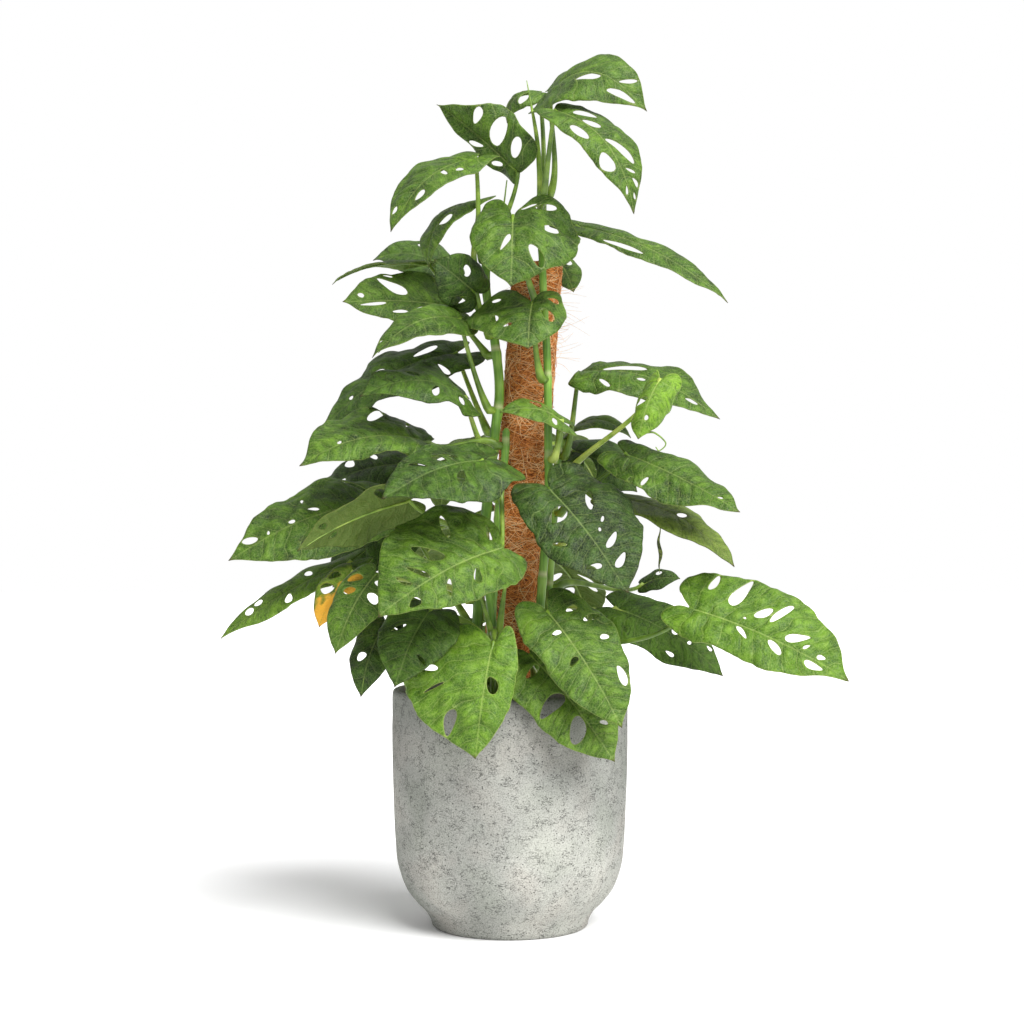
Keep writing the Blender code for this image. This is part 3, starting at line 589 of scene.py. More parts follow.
# %% Stem shapes
# Points from the soil up, and the radius at foot and top
STEMS = {
    "stem_front_right": dict(radius=(0.0055, 0.0040), points=[
        (0.026, -0.040, 0.205), (0.030, -0.040, 0.300), (0.035, -0.037, 0.376),
        (0.043, -0.036, 0.483), (0.043, -0.036, 0.560), (0.042, -0.036, 0.640),
        (0.038, -0.034, 0.710), (0.036, -0.028, 0.770), (0.034, -0.014, 0.835)]),
    "stem_left": dict(radius=(0.0070, 0.0048), points=[
        (-0.046, -0.012, 0.205), (-0.038, -0.014, 0.330), (-0.029, -0.017, 0.450),
        (-0.017, -0.022, 0.560), (-0.012, -0.022, 0.610), (-0.018, -0.018, 0.670),
        (-0.027, -0.012, 0.723), (-0.026, -0.006, 0.765), (-0.020, -0.002, 0.800)]),
    "stem_front_left": dict(radius=(0.0055, 0.0042), points=[
        (-0.024, -0.044, 0.205), (-0.022, -0.044, 0.300), (-0.018, -0.042, 0.400),
        (-0.012, -0.042, 0.480), (-0.006, -0.044, 0.530), (-0.004, -0.044, 0.565)]),
    "stem_right": dict(radius=(0.0055, 0.0042), points=[
        (0.034, 0.004, 0.205), (0.039, 0.006, 0.300), (0.047, 0.008, 0.420),
        (0.054, 0.008, 0.520), (0.058, 0.008, 0.575)]),
    "stem_low_front": dict(radius=(0.0055, 0.0042), points=[
        (-0.008, -0.070, 0.205), (-0.012, -0.072, 0.270), (-0.018, -0.070, 0.340),
        (-0.026, -0.064, 0.395)]),
    "stem_back": dict(radius=(0.0055, 0.0040), points=[
        (0.002, 0.048, 0.205), (0.004, 0.049, 0.300), (0.012, 0.050, 0.420),
        (0.020, 0.050, 0.520), (0.026, 0.050, 0.610)]),
}
STEM_SIDES = 18
STEM_BUD = 0.45        # share of the radius left at the very tip
STEM_STEP = 0.0045
JOINT_REACH = 0.005
SCAR_ABOVE = 0.006
SCAR_WIDTH = 0.0022
# Heights of each stem's joints, at or close to where its leaves hang
JOINTS = {
    "stem_front_right": (0.285, 0.330, 0.395, 0.460, 0.530, 0.620, 0.700, 0.768, 0.810),
    "stem_left": (0.265, 0.330, 0.370, 0.440, 0.490, 0.540, 0.585, 0.650, 0.700, 0.755),
    "stem_front_left": (0.270, 0.330, 0.380, 0.430, 0.485, 0.545),
    "stem_right": (0.270, 0.320, 0.385, 0.430, 0.470, 0.535),
    "stem_low_front": (0.255, 0.285, 0.335),
    "stem_back": (0.260, 0.310, 0.400, 0.470, 0.525, 0.590),
}


def stem_line(name):
    return smooth_line(STEMS[name]["points"], STEM_STEP)


def stem_radius(name, count, number):
    foot, top = STEMS[name]["radius"]
    radius = foot + (top - foot) * number / (count - 1)
    return radius * (STEM_BUD if number == count - 1 else 1.0)


def stem_at(name, height):
    """Centre, radius and heading of a stem at a height."""
    path = stem_line(name)
    for number, (low, high) in enumerate(zip(path, path[1:])):
        if low[2] <= height <= high[2]:
            share = (height - low[2]) / (high[2] - low[2])
            return (low + (high - low) * share, stem_radius(name, len(path), number),
                    unit(high - low))
    return path[-1], stem_radius(name, len(path), len(path) - 1), unit(path[-1] - path[-2])


stems = []
for name in STEMS:
    path = stem_line(name)
    radii = []
    scars = []
    for number, point in enumerate(path):
        nearest = min((point[2] - joint for joint in JOINTS[name]), key=abs)
        swell = 0.14 * math.exp(-(nearest / JOINT_REACH) ** 2)
        scar = math.exp(-((nearest - SCAR_ABOVE) / SCAR_WIDTH) ** 2)
        radii.append(stem_radius(name, len(path), number) * (1 + swell - 0.05 * scar))
        scars += [scar] * STEM_SIDES
    stems.append(tube_piece(name, path, radii, STEM_SIDES, {"scar": scars}))

# %% [markdown]
# ### Living stem skin
#
# A young aroid stem is smooth and a little waxy: blotched dark and yellow green, with fine pale
# streaks along it 1 to 2 mm apart and a cream ring at each scar.

# %% Stem finish
stem_skin, add, shader, place = new_finish("waxy_green_stem")
scar = add("Attribute", {"attribute_name": "scar"})
drawn = add("Mapping", {"Scale": (650.0, 650.0, 16.0)}, {"Vector": place})
streak = add("TexNoise", {"Scale": 1.0, "Detail": 2.0}, {"Vector": drawn})
blotch = add("TexNoise", {"Scale": 30.0, "Detail": 2.0}, {"Vector": place})
both = add("Math", {"operation": "MULTIPLY_ADD", 1: 0.5}, {0: streak, 2: blotch})
green = add("ValToRGB", {"stops": [(0.50, "#456b1e"), (0.74, "#65902c"), (0.95, "#86ac45")]},
            {"Fac": both})
ringed = add("Mix", {"data_type": "RGBA", 7: linear("#b3b783")}, {0: scar, 6: green})
fine = add("Bump", {"Strength": 0.25, "Distance": 0.4 * MM}, {"Height": streak})
fill(shader, {"Roughness": 0.42, "Coat Weight": 0.15, "Coat Roughness": 0.35},
     {"Base Color": ringed, "Normal": fine})
for name, stem in zip(STEMS, stems):
    settle(stem, name + "_skin", stem_skin, name)

# %% [markdown]
# ## The leaves
#
# Each blade is a heart-shaped sheet with a pointed tip, cut through between its side veins.
# It could be a flat grid bent with a lattice, with holes painted by transparency, but real
# holes must be real edges. So each blade is planned flat, in two numbers: place runs from 0
# at the stalk to 1 at the tip, and reach from -1 to 1 across. Then it is bent into space by
# the same formula as the CAD solid, so it stays where that solid is.

# %% Leaf table
# Leaves that the photo shows lighter or darker than their colour group
OWN_SHADE = {"long_low_left": 0.22, "right_low": 0.32, "under_right": 0.20, "left_inner": 0.05,
             "far_right_big": -0.08, "big_centre_right": -0.12, "bright_heart": -0.10,
             "tip_left_upper": -0.10, "puckered_right": -0.06, "behind_right": 0.10,
             "young_bright": 0.30, "right_upper": -0.12, "top_right": -0.05, "upper_right": -0.08}

# width: full width of the blade.  face: the way its upper side looks.
# hang: height where the stalk leaves the stem.  split: share of the width on the side that
# along x face points to.  fold, roll and twist are in degrees.


class Leaf:
    """One leaf: where it hangs on its stem, its blade's two ends and its form."""

    def __init__(self, name, stem, hang, base, tip, width, face, arch=0.12, fold=10.0,
                 roll=-35.0, twist=0.0, split=0.5, lobe=0.14, holes=(3, 3),
                 wave=0.05, bend=(0.0, 0.0, 0.0), tone="mid"):
        self.name = "leaf_" + name
        self.stem = stem
        self.hang = hang
        self.base = np.array(base, float)
        self.tip = np.array(tip, float)
        self.width = width
        self.arch = arch
        self.fold = math.radians(fold)
        self.roll = math.radians(roll)
        self.twist = math.radians(twist)
        self.split = split
        self.lobe = lobe
        self.holes = holes
        self.wave = wave
        self.bend = np.array(bend, float)
        self.tone = tone
        self.phase = sum(ord(letter) for letter in name) % 17 / 17.0
        self.length = float(np.linalg.norm(self.tip - self.base))
        self.along = (self.tip - self.base) / self.length
        face = np.array(face, float)
        self.up = unit(face - self.along * float(self.along @ face))
        self.side = np.cross(self.along, self.up)
        self.veins = min(12, max(6, round(self.length / 0.0125)))
        self.puff = 0.010 * width
        self.ruffle = (0.035 + 0.50 * wave) * width
        self.shade = random.Random(name).uniform(-0.10, 0.10) + OWN_SHADE.get(name, 0.0)


# Holes of the leaves that the photo shows well: place and reach of both ends, width in mm
HOLES = {
    "leaf_big_left": [
        (0.015, 0.29, 0.125, 0.88, 7.8), (0.21, 1, 0.405, 1, 13.7),
        (0.62, 0.11, 0.51, 0.04, 12.1), (0.44, 0.23, 0.375, 0.13, 4.7),
        (0.885, 0.3, 0.795, 0.04, 11.2), (0.59, -0.6, 0.49, -0.52, 9.9),
        (0.715, 0.14, 0.725, 0.04, 3.3), (0.435, 0.62, 0.44, 0.45, 3.5)],
    "leaf_big_front_left": [
        (0.535, 0.53, 0.42, 0.16, 15.4), (0.66, 0.31, 0.575, 0.02, 7.1),
        (0.755, 0.27, 0.715, 0.07, 5.5), (0.815, -0.34, 0.735, -0.26, 12.3),
        (0.485, -0.22, 0.565, -0.59, 5.2), (0.285, -0.32, 0.35, -0.66, 8.6),
        (0.195, 0.77, 0.285, 0.42, 7.6), (-0.06, 0.43, 0.015, 0.17, 5.4)],
    "leaf_front_left_low": [
        (0.285, 0.77, 0.28, 0.58, 6.5), (0.5, 0.71, 0.4, 0.48, 3.1),
        (0.865, 0.37, 0.595, 0.33, 17), (0.31, -0.06, 0.46, -0.43, 13.2)],
    "leaf_big_centre_right": [
        (0.175, -0.46, 0.325, -0.27, 7.6), (0.415, -0.38, 0.455, -0.3, 3.2),
        (0.515, -0.17, 0.485, -0.22, 3.2), (0.57, -0.39, 0.655, -0.12, 7.5),
        (0.74, -0.3, 0.81, -0.07, 8.4), (0.27, 0.54, 0.23, 0.04, 15.7),
        (0.715, 0.5, 0.75, 0.18, 6.7), (0.425, 0.79, 0.495, 0.56, 4.8)],
    "leaf_front_right_low": [
        (0.2, 0.34, 0.185, 0.05, 5.8), (0.465, 0.39, 0.42, 0.11, 6.4),
        (0.065, -0.33, 0.055, -0.6, 7.3), (0.185, -0.51, 0.16, -0.96, 7.6),
        (0.365, -0.59, 0.365, -0.79, 7.2), (0.61, -0.54, 0.755, -0.52, 11.5)],
    "leaf_front_right_under": [
        (0.44, 0.77, 0.385, 0.06, 16), (0.735, 0.58, 0.605, 0.04, 17),
        (0.705, -0.22, 0.75, -0.36, 4.5), (0.14, 0.47, 0.11, 0.02, 7.8)],
    "leaf_right_low": [
        (0.475, -0.48, 0.575, -0.83, 10.8), (0.46, -0.19, 0.535, -0.05, 9),
        (0.63, -0.05, 0.65, -0.12, 4.2), (0.725, -0.39, 0.86, -0.38, 13.3),
        (0.53, 0.63, 0.6, 0.63, 4.9)],
    "leaf_far_right_big": [
        (0.03, -0.85, 0.045, -0.44, 9.3), (0.22, -0.98, 0.195, -0.27, 17),
        (0.43, -0.49, 0.37, -0.22, 11.4), (0.525, -0.75, 0.455, -0.23, 8.3),
        (0.69, -0.29, 0.58, -0.08, 9.9), (0.715, -0.17, 0.69, -0.08, 3.5),
        (0.825, -0.1, 0.78, -0.07, 6), (0.84, 0.18, 0.735, 0.23, 9.5),
        (0.605, 0.38, 0.5, 0.1, 8.5), (0.385, 0.38, 0.305, 0.07, 5.8),
        (0.325, -0.13, 0.31, -0.15, 2.9)],
    "leaf_puckered_right": [
        (0.31, 0.54, 0.32, 0.92, 4.7), (0.785, -0.02, 0.845, -0.11, 4.8),
        (0.06, 0.13, 0.13, 0.74, 4.1), (0.215, 0.83, 0.225, 1, 3.8)],
    "leaf_under_right": [
        (0.46, -0.05, 0.52, -0.25, 8.3)],
    "leaf_behind_right": [
        (0.215, 0.05, 0.455, 0.73, 13.5), (0.545, -0.79, 0.595, -0.12, 8.1)],
    "leaf_top_right": [
        (0.335, 0.41, 0.605, 0.04, 17), (0.725, -0.04, 0.83, -0.4, 4.5),
        (0.635, 0.48, 0.95, 0.04, 13.4)],
    "leaf_upper_right": [
        (0.115, -0.12, 0.225, -0.57, 15.4), (0.215, -0.04, 0.375, -0.21, 10.7),
        (0.235, 0.57, 0.425, 0.65, 11.3), (0.455, -0.04, 0.705, -0.52, 11.8),
        (0.555, 0.45, 0.705, 0.46, 17), (0.715, -0.12, 0.765, -0.37, 3.7),
        (0.78, -0.19, 0.865, -0.36, 8.5), (0.805, 0.02, 0.895, 0.2, 8.1),
        (0.865, -0.12, 0.935, -0.12, 7)],
    "leaf_bright_heart": [
        (-0.115, -0.32, -0.15, -0.65, 10.4), (0.25, -0.43, 0.205, -0.69, 13.5),
        (0.465, -0.22, 0.805, -0.48, 15.2), (0.565, 0.28, 0.325, 0.03, 6.8),
        (-0.14, -0.11, -0.2, -0.36, 5.4)],
    "leaf_pole_heart": [
        (0.44, 0.59, 0.475, 0.47, 7.7), (0.005, 0.62, 0, 0.47, 5.9),
        (0.24, -0.28, 0.495, -0.66, 11.1), (-0.045, -0.42, 0.03, -0.73, 8.7),
        (0.615, 0.38, 0.56, 0.26, 3.9)],
    "leaf_upper_left": [
        (0.295, -0.58, 0.235, -0.63, 7.5), (0.655, -0.78, 0.47, -0.82, 16.8),
        (0.725, -0.39, 0.61, -0.42, 10.2), (0.805, 0.04, 0.715, 0.04, 7.9),
        (0.345, -0.05, 0.385, -0.52, 5.1), (0.875, 0.23, 0.81, 0.19, 7)],
    "leaf_long_right": [
        (0.21, 0.76, 0.465, 0.63, 7.3)],
    "leaf_thin_left": [
        (0.3, 0.59, 0.22, 0.06, 16.2), (0.55, -0.06, 0.45, -0.7, 17)],
    "leaf_tip_left_upper": [
        (0.645, 0.62, 0.435, 0.15, 17), (0.86, 0.18, 0.805, 0.11, 5.9),
        (0.845, -0.18, 0.625, -0.14, 6.2), (0.585, -0.49, 0.44, -0.45, 4.3),
        (0.41, -0.48, 0.265, -0.24, 5.7), (0.575, 0.83, 0.49, 0.82, 9.9)],
    "leaf_dome_left": [
        (0.5, 0.45, 0.35, 0.58, 11.1)],
    "leaf_arching_left": [
        (0.88, 0.31, 0.825, 0.21, 6)],
    "leaf_mid_left": [
        (0.54, 0.32, 0.46, 0.15, 9.5), (0.75, 0.11, 0.725, 0.04, 5.7),
        (0.585, -0.39, 0.545, -0.54, 7), (0.25, 0.21, 0.08, 0.4, 11.8),
        (0.17, -0.37, 0.14, -0.92, 8.5), (0.245, -0.55, 0.21, -0.84, 6.5)],
    "leaf_pale_rib_left": [
        (0.39, 0.5, 0.19, 0.91, 13.1), (0.12, 0.34, 0.035, 0.63, 4.7),
        (0.725, 0.03, 0.655, 0.06, 7.4)],
    "leaf_right_upper": [
        (0.155, -0.04, 0.445, -0.29, 11.5), (0.44, 0.38, 0.485, 0.22, 7.4),
        (0.76, 0.22, 0.85, 0.04, 10.4), (0.84, 0.28, 0.95, 0.11, 13.3),
        (0.78, 0.54, 0.825, 0.45, 5.4), (0.205, 0.55, 0.315, 0.84, 4.9)],
    "leaf_small_arch_right": [
        (0.33, 0.08, 0.595, 0.08, 17)],
    "leaf_young_bright": [
        (0.475, 0.75, 0.385, 0.06, 8.3), (0.765, -0.06, 0.605, -0.14, 8.4)],
    "leaf_crumpled": [
        (0.11, 0.25, 0.19, 0.80, 12), (0.33, 0.12, 0.43, 0.86, 19), (0.60, 0.14, 0.67, 0.84, 17),
        (0.83, 0.15, 0.86, 0.60, 9), (0.42, -0.25, 0.56, -0.72, 7),
        (0.16, -0.25, 0.26, -0.70, 6)],
    "leaf_young_curl": [
        (0.22, 0.2, 0.45, 0.75, 11), (0.22, -0.2, 0.5, -0.75, 11), (0.62, 0.15, 0.74, 0.55, 6)],
    "leaf_low_left_c": [
        (0.30, 0.3, 0.42, 0.62, 5), (0.62, -0.3, 0.70, -0.6, 4)],
    "leaf_dark_front_left": [
        (0.2, 0.2, 0.3, 0.45, 4), (0.33, 0.15, 0.4, 0.5, 9), (0.52, 0.2, 0.6, 0.6, 5),
        (0.3, -0.25, 0.42, -0.55, 8)],
    "leaf_left_inner": [
        (0.3, -0.3, 0.4, -0.75, 8), (0.55, 0.3, 0.65, 0.7, 7)],
}

LEAVES = [
    Leaf("top_right", "stem_front_right", 0.825, (0.047, 0.004, 0.953), (0.152, -0.040, 0.920),
         0.098, (0.0, -0.74, 0.67), arch=0.33, split=0.52, lobe=0.18),
    Leaf("upper_right", "stem_front_right", 0.820, (0.050, -0.060, 0.918), (0.137, -0.096, 0.797),
         0.078, (0.4, -0.75, 0.5), arch=0.20, split=0.42, lobe=0.08),
    Leaf("crumpled", "stem_left", 0.790, (0.009, -0.010, 0.856), (-0.083, -0.010, 0.936), 0.066,
         (-0.4, -0.85, -0.3), arch=-0.06, fold=35, roll=-70, wave=0.18, split=0.72, lobe=0.05),
    Leaf("young_curl", "stem_front_right", 0.810, (0.034, 0.044, 0.960), (-0.003, 0.046, 0.925),
         0.054, (-0.4, -0.5, 0.8), arch=0.32, roll=-60, holes=(1, 2)),
    Leaf("upper_left", "stem_left", 0.755, (-0.039, -0.035, 0.869), (-0.130, -0.080, 0.779), 0.087,
         (-0.4, -0.6, 0.7), arch=0.16, split=0.58),
    Leaf("thin_left", "stem_left", 0.745, (-0.037, 0.010, 0.828), (-0.094, -0.020, 0.748), 0.065,
         (-0.6, -0.4, 0.6), arch=0.22, holes=(3, 2)),
    Leaf("bright_heart", "stem_front_right", 0.700, (0.003, -0.064, 0.800), (0.001, -0.112, 0.715),
         0.122, (0.05, -0.88, 0.48), arch=0.10, split=0.38, lobe=0.40),
    Leaf("long_right", "stem_front_right", 0.768, (0.076, 0.000, 0.798), (0.243, -0.060, 0.704),
         0.056, (0.2, -0.50, 0.8), arch=0.08),
    Leaf("pole_heart", "stem_front_right", 0.620, (0.025, -0.055, 0.705), (0.020, -0.095, 0.649),
         0.115, (-0.1, -0.75, 0.65), arch=0.12, split=0.64, lobe=0.32),
    Leaf("small_back_right", "stem_back", 0.590, (0.056, 0.060, 0.767), (0.074, 0.050, 0.728),
         0.042, (0.3, -0.8, 0.4), holes=(1, 1)),
    Leaf("edge_on_left", "stem_left", 0.700, (-0.095, 0.050, 0.761), (-0.207, 0.030, 0.736), 0.060,
         (0.0, -0.05, 1.0), arch=0.10, holes=(2, 2)),
    Leaf("dome_left", "stem_left", 0.690, (-0.068, 0.110, 0.757), (-0.166, 0.115, 0.775), 0.085,
         (0.0, -0.6, 0.75), arch=0.18, holes=(1, 1), tone="dark"),
    Leaf("tip_left_upper", "stem_left", 0.650, (-0.066, 0.010, 0.707), (-0.189, -0.030, 0.707),
         0.095, (-0.1, -0.75, 0.6), arch=0.05, split=0.62),
    Leaf("curly_left", "stem_left", 0.670, (-0.037, -0.035, 0.716), (-0.084, -0.055, 0.752), 0.068,
         (-0.4, -0.8, 0.3), arch=0.20, fold=25, roll=-80, wave=0.15, holes=(1, 1), tone="dark"),
    Leaf("arching_left", "stem_left", 0.585, (-0.056, -0.055, 0.686), (-0.149, -0.110, 0.638),
         0.070, (-0.2, -0.7, 0.7), arch=0.18, twist=30, holes=(2, 3)),
    Leaf("mid_left", "stem_left", 0.560, (-0.062, 0.034, 0.656), (-0.215, 0.000, 0.563), 0.100,
         (-0.3, -0.6, 0.75), arch=0.12, wave=0.09, tone="dark"),
    Leaf("mid_left_low", "stem_left", 0.540, (-0.050, -0.044, 0.600), (-0.164, -0.100, 0.597),
         0.084, (0.0, -0.6, 0.8), arch=0.17, wave=0.09, holes=(3, 2), tone="dark"),
    Leaf("pale_rib_left", "stem_front_left", 0.545, (-0.091, -0.050, 0.549),
         (-0.229, -0.110, 0.521), 0.108, (-0.1, -0.6, 0.8), arch=0.14, split=0.64, wave=0.08),
    Leaf("dark_front_left", "stem_front_left", 0.485, (-0.030, -0.115, 0.527),
         (-0.134, -0.180, 0.483), 0.110, (-0.1, -0.7, 0.75), arch=0.10, split=0.42, lobe=0.28,
         tone="dark"),
    Leaf("big_left", "stem_left", 0.440, (-0.149, -0.015, 0.482), (-0.311, -0.070, 0.416), 0.118,
         (-0.2, -0.75, 0.65), arch=0.10, split=0.47, holes=(4, 3)),
    Leaf("above_big_left", "stem_left", 0.490, (-0.112, 0.065, 0.528), (-0.250, 0.080, 0.478),
         0.086, (-0.1, -0.55, 0.8), arch=0.12, holes=(2, 2), tone="dark"),
    Leaf("olive_left", "stem_front_left", 0.430, (-0.110, -0.104, 0.484), (-0.225, -0.165, 0.429),
         0.082, (-0.25, 0.6, 0.75), arch=0.06, holes=(1, 2), tone="olive"),
    Leaf("big_front_left", "stem_front_left", 0.505, (-0.009, -0.132, 0.432),
         (-0.137, -0.205, 0.362), 0.136, (-0.15, -0.85, 0.5), arch=0.10, split=0.64, holes=(4, 3),
         lobe=0.13, bend=(-0.007, 0.0, 0.020)),
    Leaf("left_inner", "stem_left", 0.345, (-0.118, 0.032, 0.462), (-0.208, 0.028, 0.384), 0.088,
         (-0.2, -0.7, 0.6), holes=(1, 1), tone="dark"),
    Leaf("long_low_left", "stem_left", 0.370, (-0.181, -0.025, 0.415), (-0.324, -0.050, 0.329),
         0.055, (-0.2, -0.5, 0.85), arch=0.05, holes=(3, 2)),
    Leaf("half_yellow", "stem_left", 0.330, (-0.175, -0.070, 0.405), (-0.209, -0.100, 0.345),
         0.050, (-0.3, -0.85, 0.35), holes=(2, 1), tone="yellow"),
    Leaf("low_left_a", "stem_front_left", 0.330, (-0.146, -0.105, 0.403), (-0.186, -0.145, 0.319),
         0.062, (-0.3, -0.8, 0.4), holes=(2, 2)),
    Leaf("low_left_b", "stem_low_front", 0.285, (-0.137, -0.085, 0.350), (-0.161, -0.125, 0.271),
         0.054, (-0.3, -0.85, 0.4), holes=(1, 2), tone="dark"),
    Leaf("low_left_c", "stem_low_front", 0.305, (-0.087, -0.105, 0.364), (-0.122, -0.155, 0.284),
         0.085, (-0.2, -0.85, 0.45), tone="dark"),
    Leaf("right_upper", "stem_right", 0.535, (0.079, -0.010, 0.630), (0.232, -0.070, 0.573), 0.098,
         (0.1, -0.50, 0.85), arch=0.13, lobe=-0.03),
    Leaf("young_bright", "stem_right", 0.505, (0.162, -0.120, 0.614), (0.138, -0.140, 0.549),
         0.064, (-0.3, -0.85, 0.3), arch=0.14, fold=-10, roll=-80, holes=(1, 2), lobe=0.28,
         tone="bright"),
    Leaf("pole_cross", "stem_front_right", 0.530, (0.058, -0.060, 0.573), (-0.011, -0.080, 0.580),
         0.048, (0.0, -0.6, 0.8), arch=0.16, holes=(1, 1), lobe=0.3),
    Leaf("small_arch_right", "stem_right", 0.550, (0.071, 0.030, 0.566), (0.139, 0.010, 0.556),
         0.052, (0.1, -0.4, 0.9), arch=0.24, holes=(1, 1)),
    Leaf("puckered_right", "stem_right", 0.470, (0.129, -0.060, 0.536), (0.248, -0.130, 0.471),
         0.085, (0.2, -0.6, 0.75), arch=0.03, split=0.53, wave=0.08),
    Leaf("behind_right", "stem_back", 0.500, (0.074, 0.040, 0.542), (0.147, 0.020, 0.494), 0.080,
         (0.1, -0.7, 0.7), tone="dark"),
    Leaf("under_right", "stem_right", 0.430, (0.118, -0.040, 0.486), (0.247, -0.090, 0.411), 0.080,
         (0.2, -0.35, 0.9), arch=0.12, holes=(2, 2), tone="olive"),
    Leaf("big_centre_right", "stem_front_right", 0.455, (0.043, -0.094, 0.496),
         (0.125, -0.158, 0.384), 0.122, (0.15, -0.85, 0.5), arch=0.08, split=0.42, holes=(3, 4),
         lobe=0.20, tone="dark"),
    Leaf("front_left_low", "stem_low_front", 0.335, (-0.018, -0.137, 0.331),
         (-0.036, -0.178, 0.211), 0.125, (-0.15, -0.85, 0.5), arch=0.08, split=0.74, lobe=0.16,
         tone="bright"),
    Leaf("front_right_low", "stem_front_right", 0.330, (0.041, -0.120, 0.363),
         (0.118, -0.175, 0.243), 0.097, (0.15, -0.85, 0.5), arch=0.08, split=0.45, lobe=0.18),
    Leaf("front_right_under", "stem_front_right", 0.285, (0.022, -0.110, 0.316),
         (0.112, -0.148, 0.204), 0.100, (0.15, -0.85, 0.5), arch=0.06),
    Leaf("right_low", "stem_right", 0.360, (0.120, -0.012, 0.362), (0.240, -0.035, 0.286), 0.080,
         (0.2, -0.7, 0.6), arch=0.10, tone="dark"),
    Leaf("right_low_small", "stem_right", 0.385, (0.154, 0.035, 0.387), (0.197, 0.025, 0.394),
         0.038, (0.0, -0.6, 0.8), holes=(0, 1), tone="dark"),
    Leaf("far_right_big", "stem_right", 0.320, (0.197, -0.100, 0.366), (0.361, -0.160, 0.292),
         0.112, (0.1, -0.8, 0.6), arch=0.06, split=0.36, holes=(4, 4), bend=(0.0, -0.020, -0.030),
         tone="bright"),
    Leaf("back_left_high", "stem_back", 0.525, (-0.040, 0.130, 0.560), (-0.090, 0.240, 0.470),
         0.090, (-0.3, 0.4, 0.8), holes=(2, 2)),
    Leaf("back_right_high", "stem_back", 0.545, (0.060, 0.130, 0.560), (0.120, 0.230, 0.470),
         0.090, (0.3, 0.4, 0.8), holes=(2, 2)),
    Leaf("back_left_low", "stem_back", 0.420, (-0.060, 0.130, 0.450), (-0.140, 0.220, 0.360),
         0.100, (-0.3, 0.5, 0.8), holes=(2, 2)),
    Leaf("back_right_low", "stem_back", 0.400, (0.045, 0.130, 0.420), (0.100, 0.210, 0.330), 0.100,
         (0.3, 0.5, 0.8), holes=(2, 2)),
    Leaf("back_low", "stem_back", 0.310, (0.000, 0.130, 0.360), (-0.010, 0.210, 0.270), 0.090,
         (0.0, 0.6, 0.7), holes=(1, 1)),
    Leaf("back_side_left", "stem_back", 0.470, (-0.105, 0.075, 0.455), (-0.215, 0.125, 0.385),
         0.085, (-0.5, 0.2, 0.8), holes=(1, 1)),
]


# %% [markdown]
# ### Bending a flat blade into place
#
# The midrib is a bow between the two ends. Across it, each half rises at the fold and rolls
# over towards its edge, and the edge swings up and down in slow waves.

# %% Blade surface
def halves(leaf, reach):
    """Width of the blade's half on which each point lies."""
    return leaf.width * np.where(reach > 0, leaf.split, 1 - leaf.split)


def blade_points(leaf, place, reach):
    """Middle surface of the blade for arrays of place and reach."""
    held = np.maximum(place, 0.0)[:, None]
    middle = (leaf.base + leaf.tip) / 2 + leaf.up * leaf.arch * 2 * leaf.length
    rib = (leaf.base * (1 - held) ** 2 + middle * 2 * held * (1 - held) + leaf.tip * held ** 2)
    heading = (middle - leaf.base) * (1 - held) + (leaf.tip - middle) * held
    heading = heading / np.linalg.norm(heading, axis=1)[:, None]
    rib = rib + heading * np.minimum(place, 0.0)[:, None] * leaf.length
    up = np.cross(leaf.side, heading)
    angle = leaf.twist * (held - 0.3)
    side = leaf.side * np.cos(angle) - up * np.sin(angle)
    up = up * np.cos(angle) + leaf.side * np.sin(angle)
    half = halves(leaf, reach)
    out = np.abs(reach)
    flat = (np.sin(leaf.fold + leaf.roll * out) - math.sin(leaf.fold)) / leaf.roll
    lift = (math.cos(leaf.fold) - np.cos(leaf.fold + leaf.roll * out)) / leaf.roll
    swing = 1.9 * place + leaf.phase + np.where(reach > 0, 0.23, 0.0)
    lift = lift + leaf.wave * out * out * np.sin(2 * math.pi * swing)
    sign = np.where(reach > 0, 1.0, -1.0)
    return rib + side * (sign * flat * half)[:, None] + up * (lift * half)[:, None]


def blade_normals(leaf, place, reach):
    step = 0.01
    along = blade_points(leaf, place + step, reach) - blade_points(leaf, place - step, reach)
    across = blade_points(leaf, place, reach + step) - blade_points(leaf, place, reach - step)
    normal = np.cross(across, along)
    return normal / np.linalg.norm(normal, axis=1)[:, None]


# %% [markdown]
# ### Side veins
#
# Side veins leave the midrib in order, fan backwards into the two lobes at the base, and bend
# towards the tip near the edge. Numbering them with a number that grows evenly from vein to
# vein gives each point of the blade its own vein number. Holes sit halfway between two veins,
# the blade swells there, and the material draws veins where the number is whole.

# %% Side veins
VEIN_SPAN = 0.93       # share of the midrib along which side veins leave it
# Slope of the first veins, by number, and of the last one
FAN = ((-1, -9.0), (0, -2.4), (1, -0.85), (2, -0.10), (3, 0.22))
LAST_SLOPE = 0.72


def vein_places(leaf, number, out):
    """Place that side vein number has reached at a distance out, in leaf lengths."""
    share = np.clip((number - 2) / (leaf.veins - 2), 0, None)
    root = 0.01 * np.clip(number, 0, 2) + VEIN_SPAN * share
    numbers = [turn for turn, _ in FAN] + [leaf.veins]
    slopes = [slope for _, slope in FAN] + [LAST_SLOPE]
    return root + np.interp(number, numbers, slopes) * out + 0.6 * out * out


def half_of(leaf, sign):
    return leaf.width * (leaf.split if sign > 0 else 1 - leaf.split)


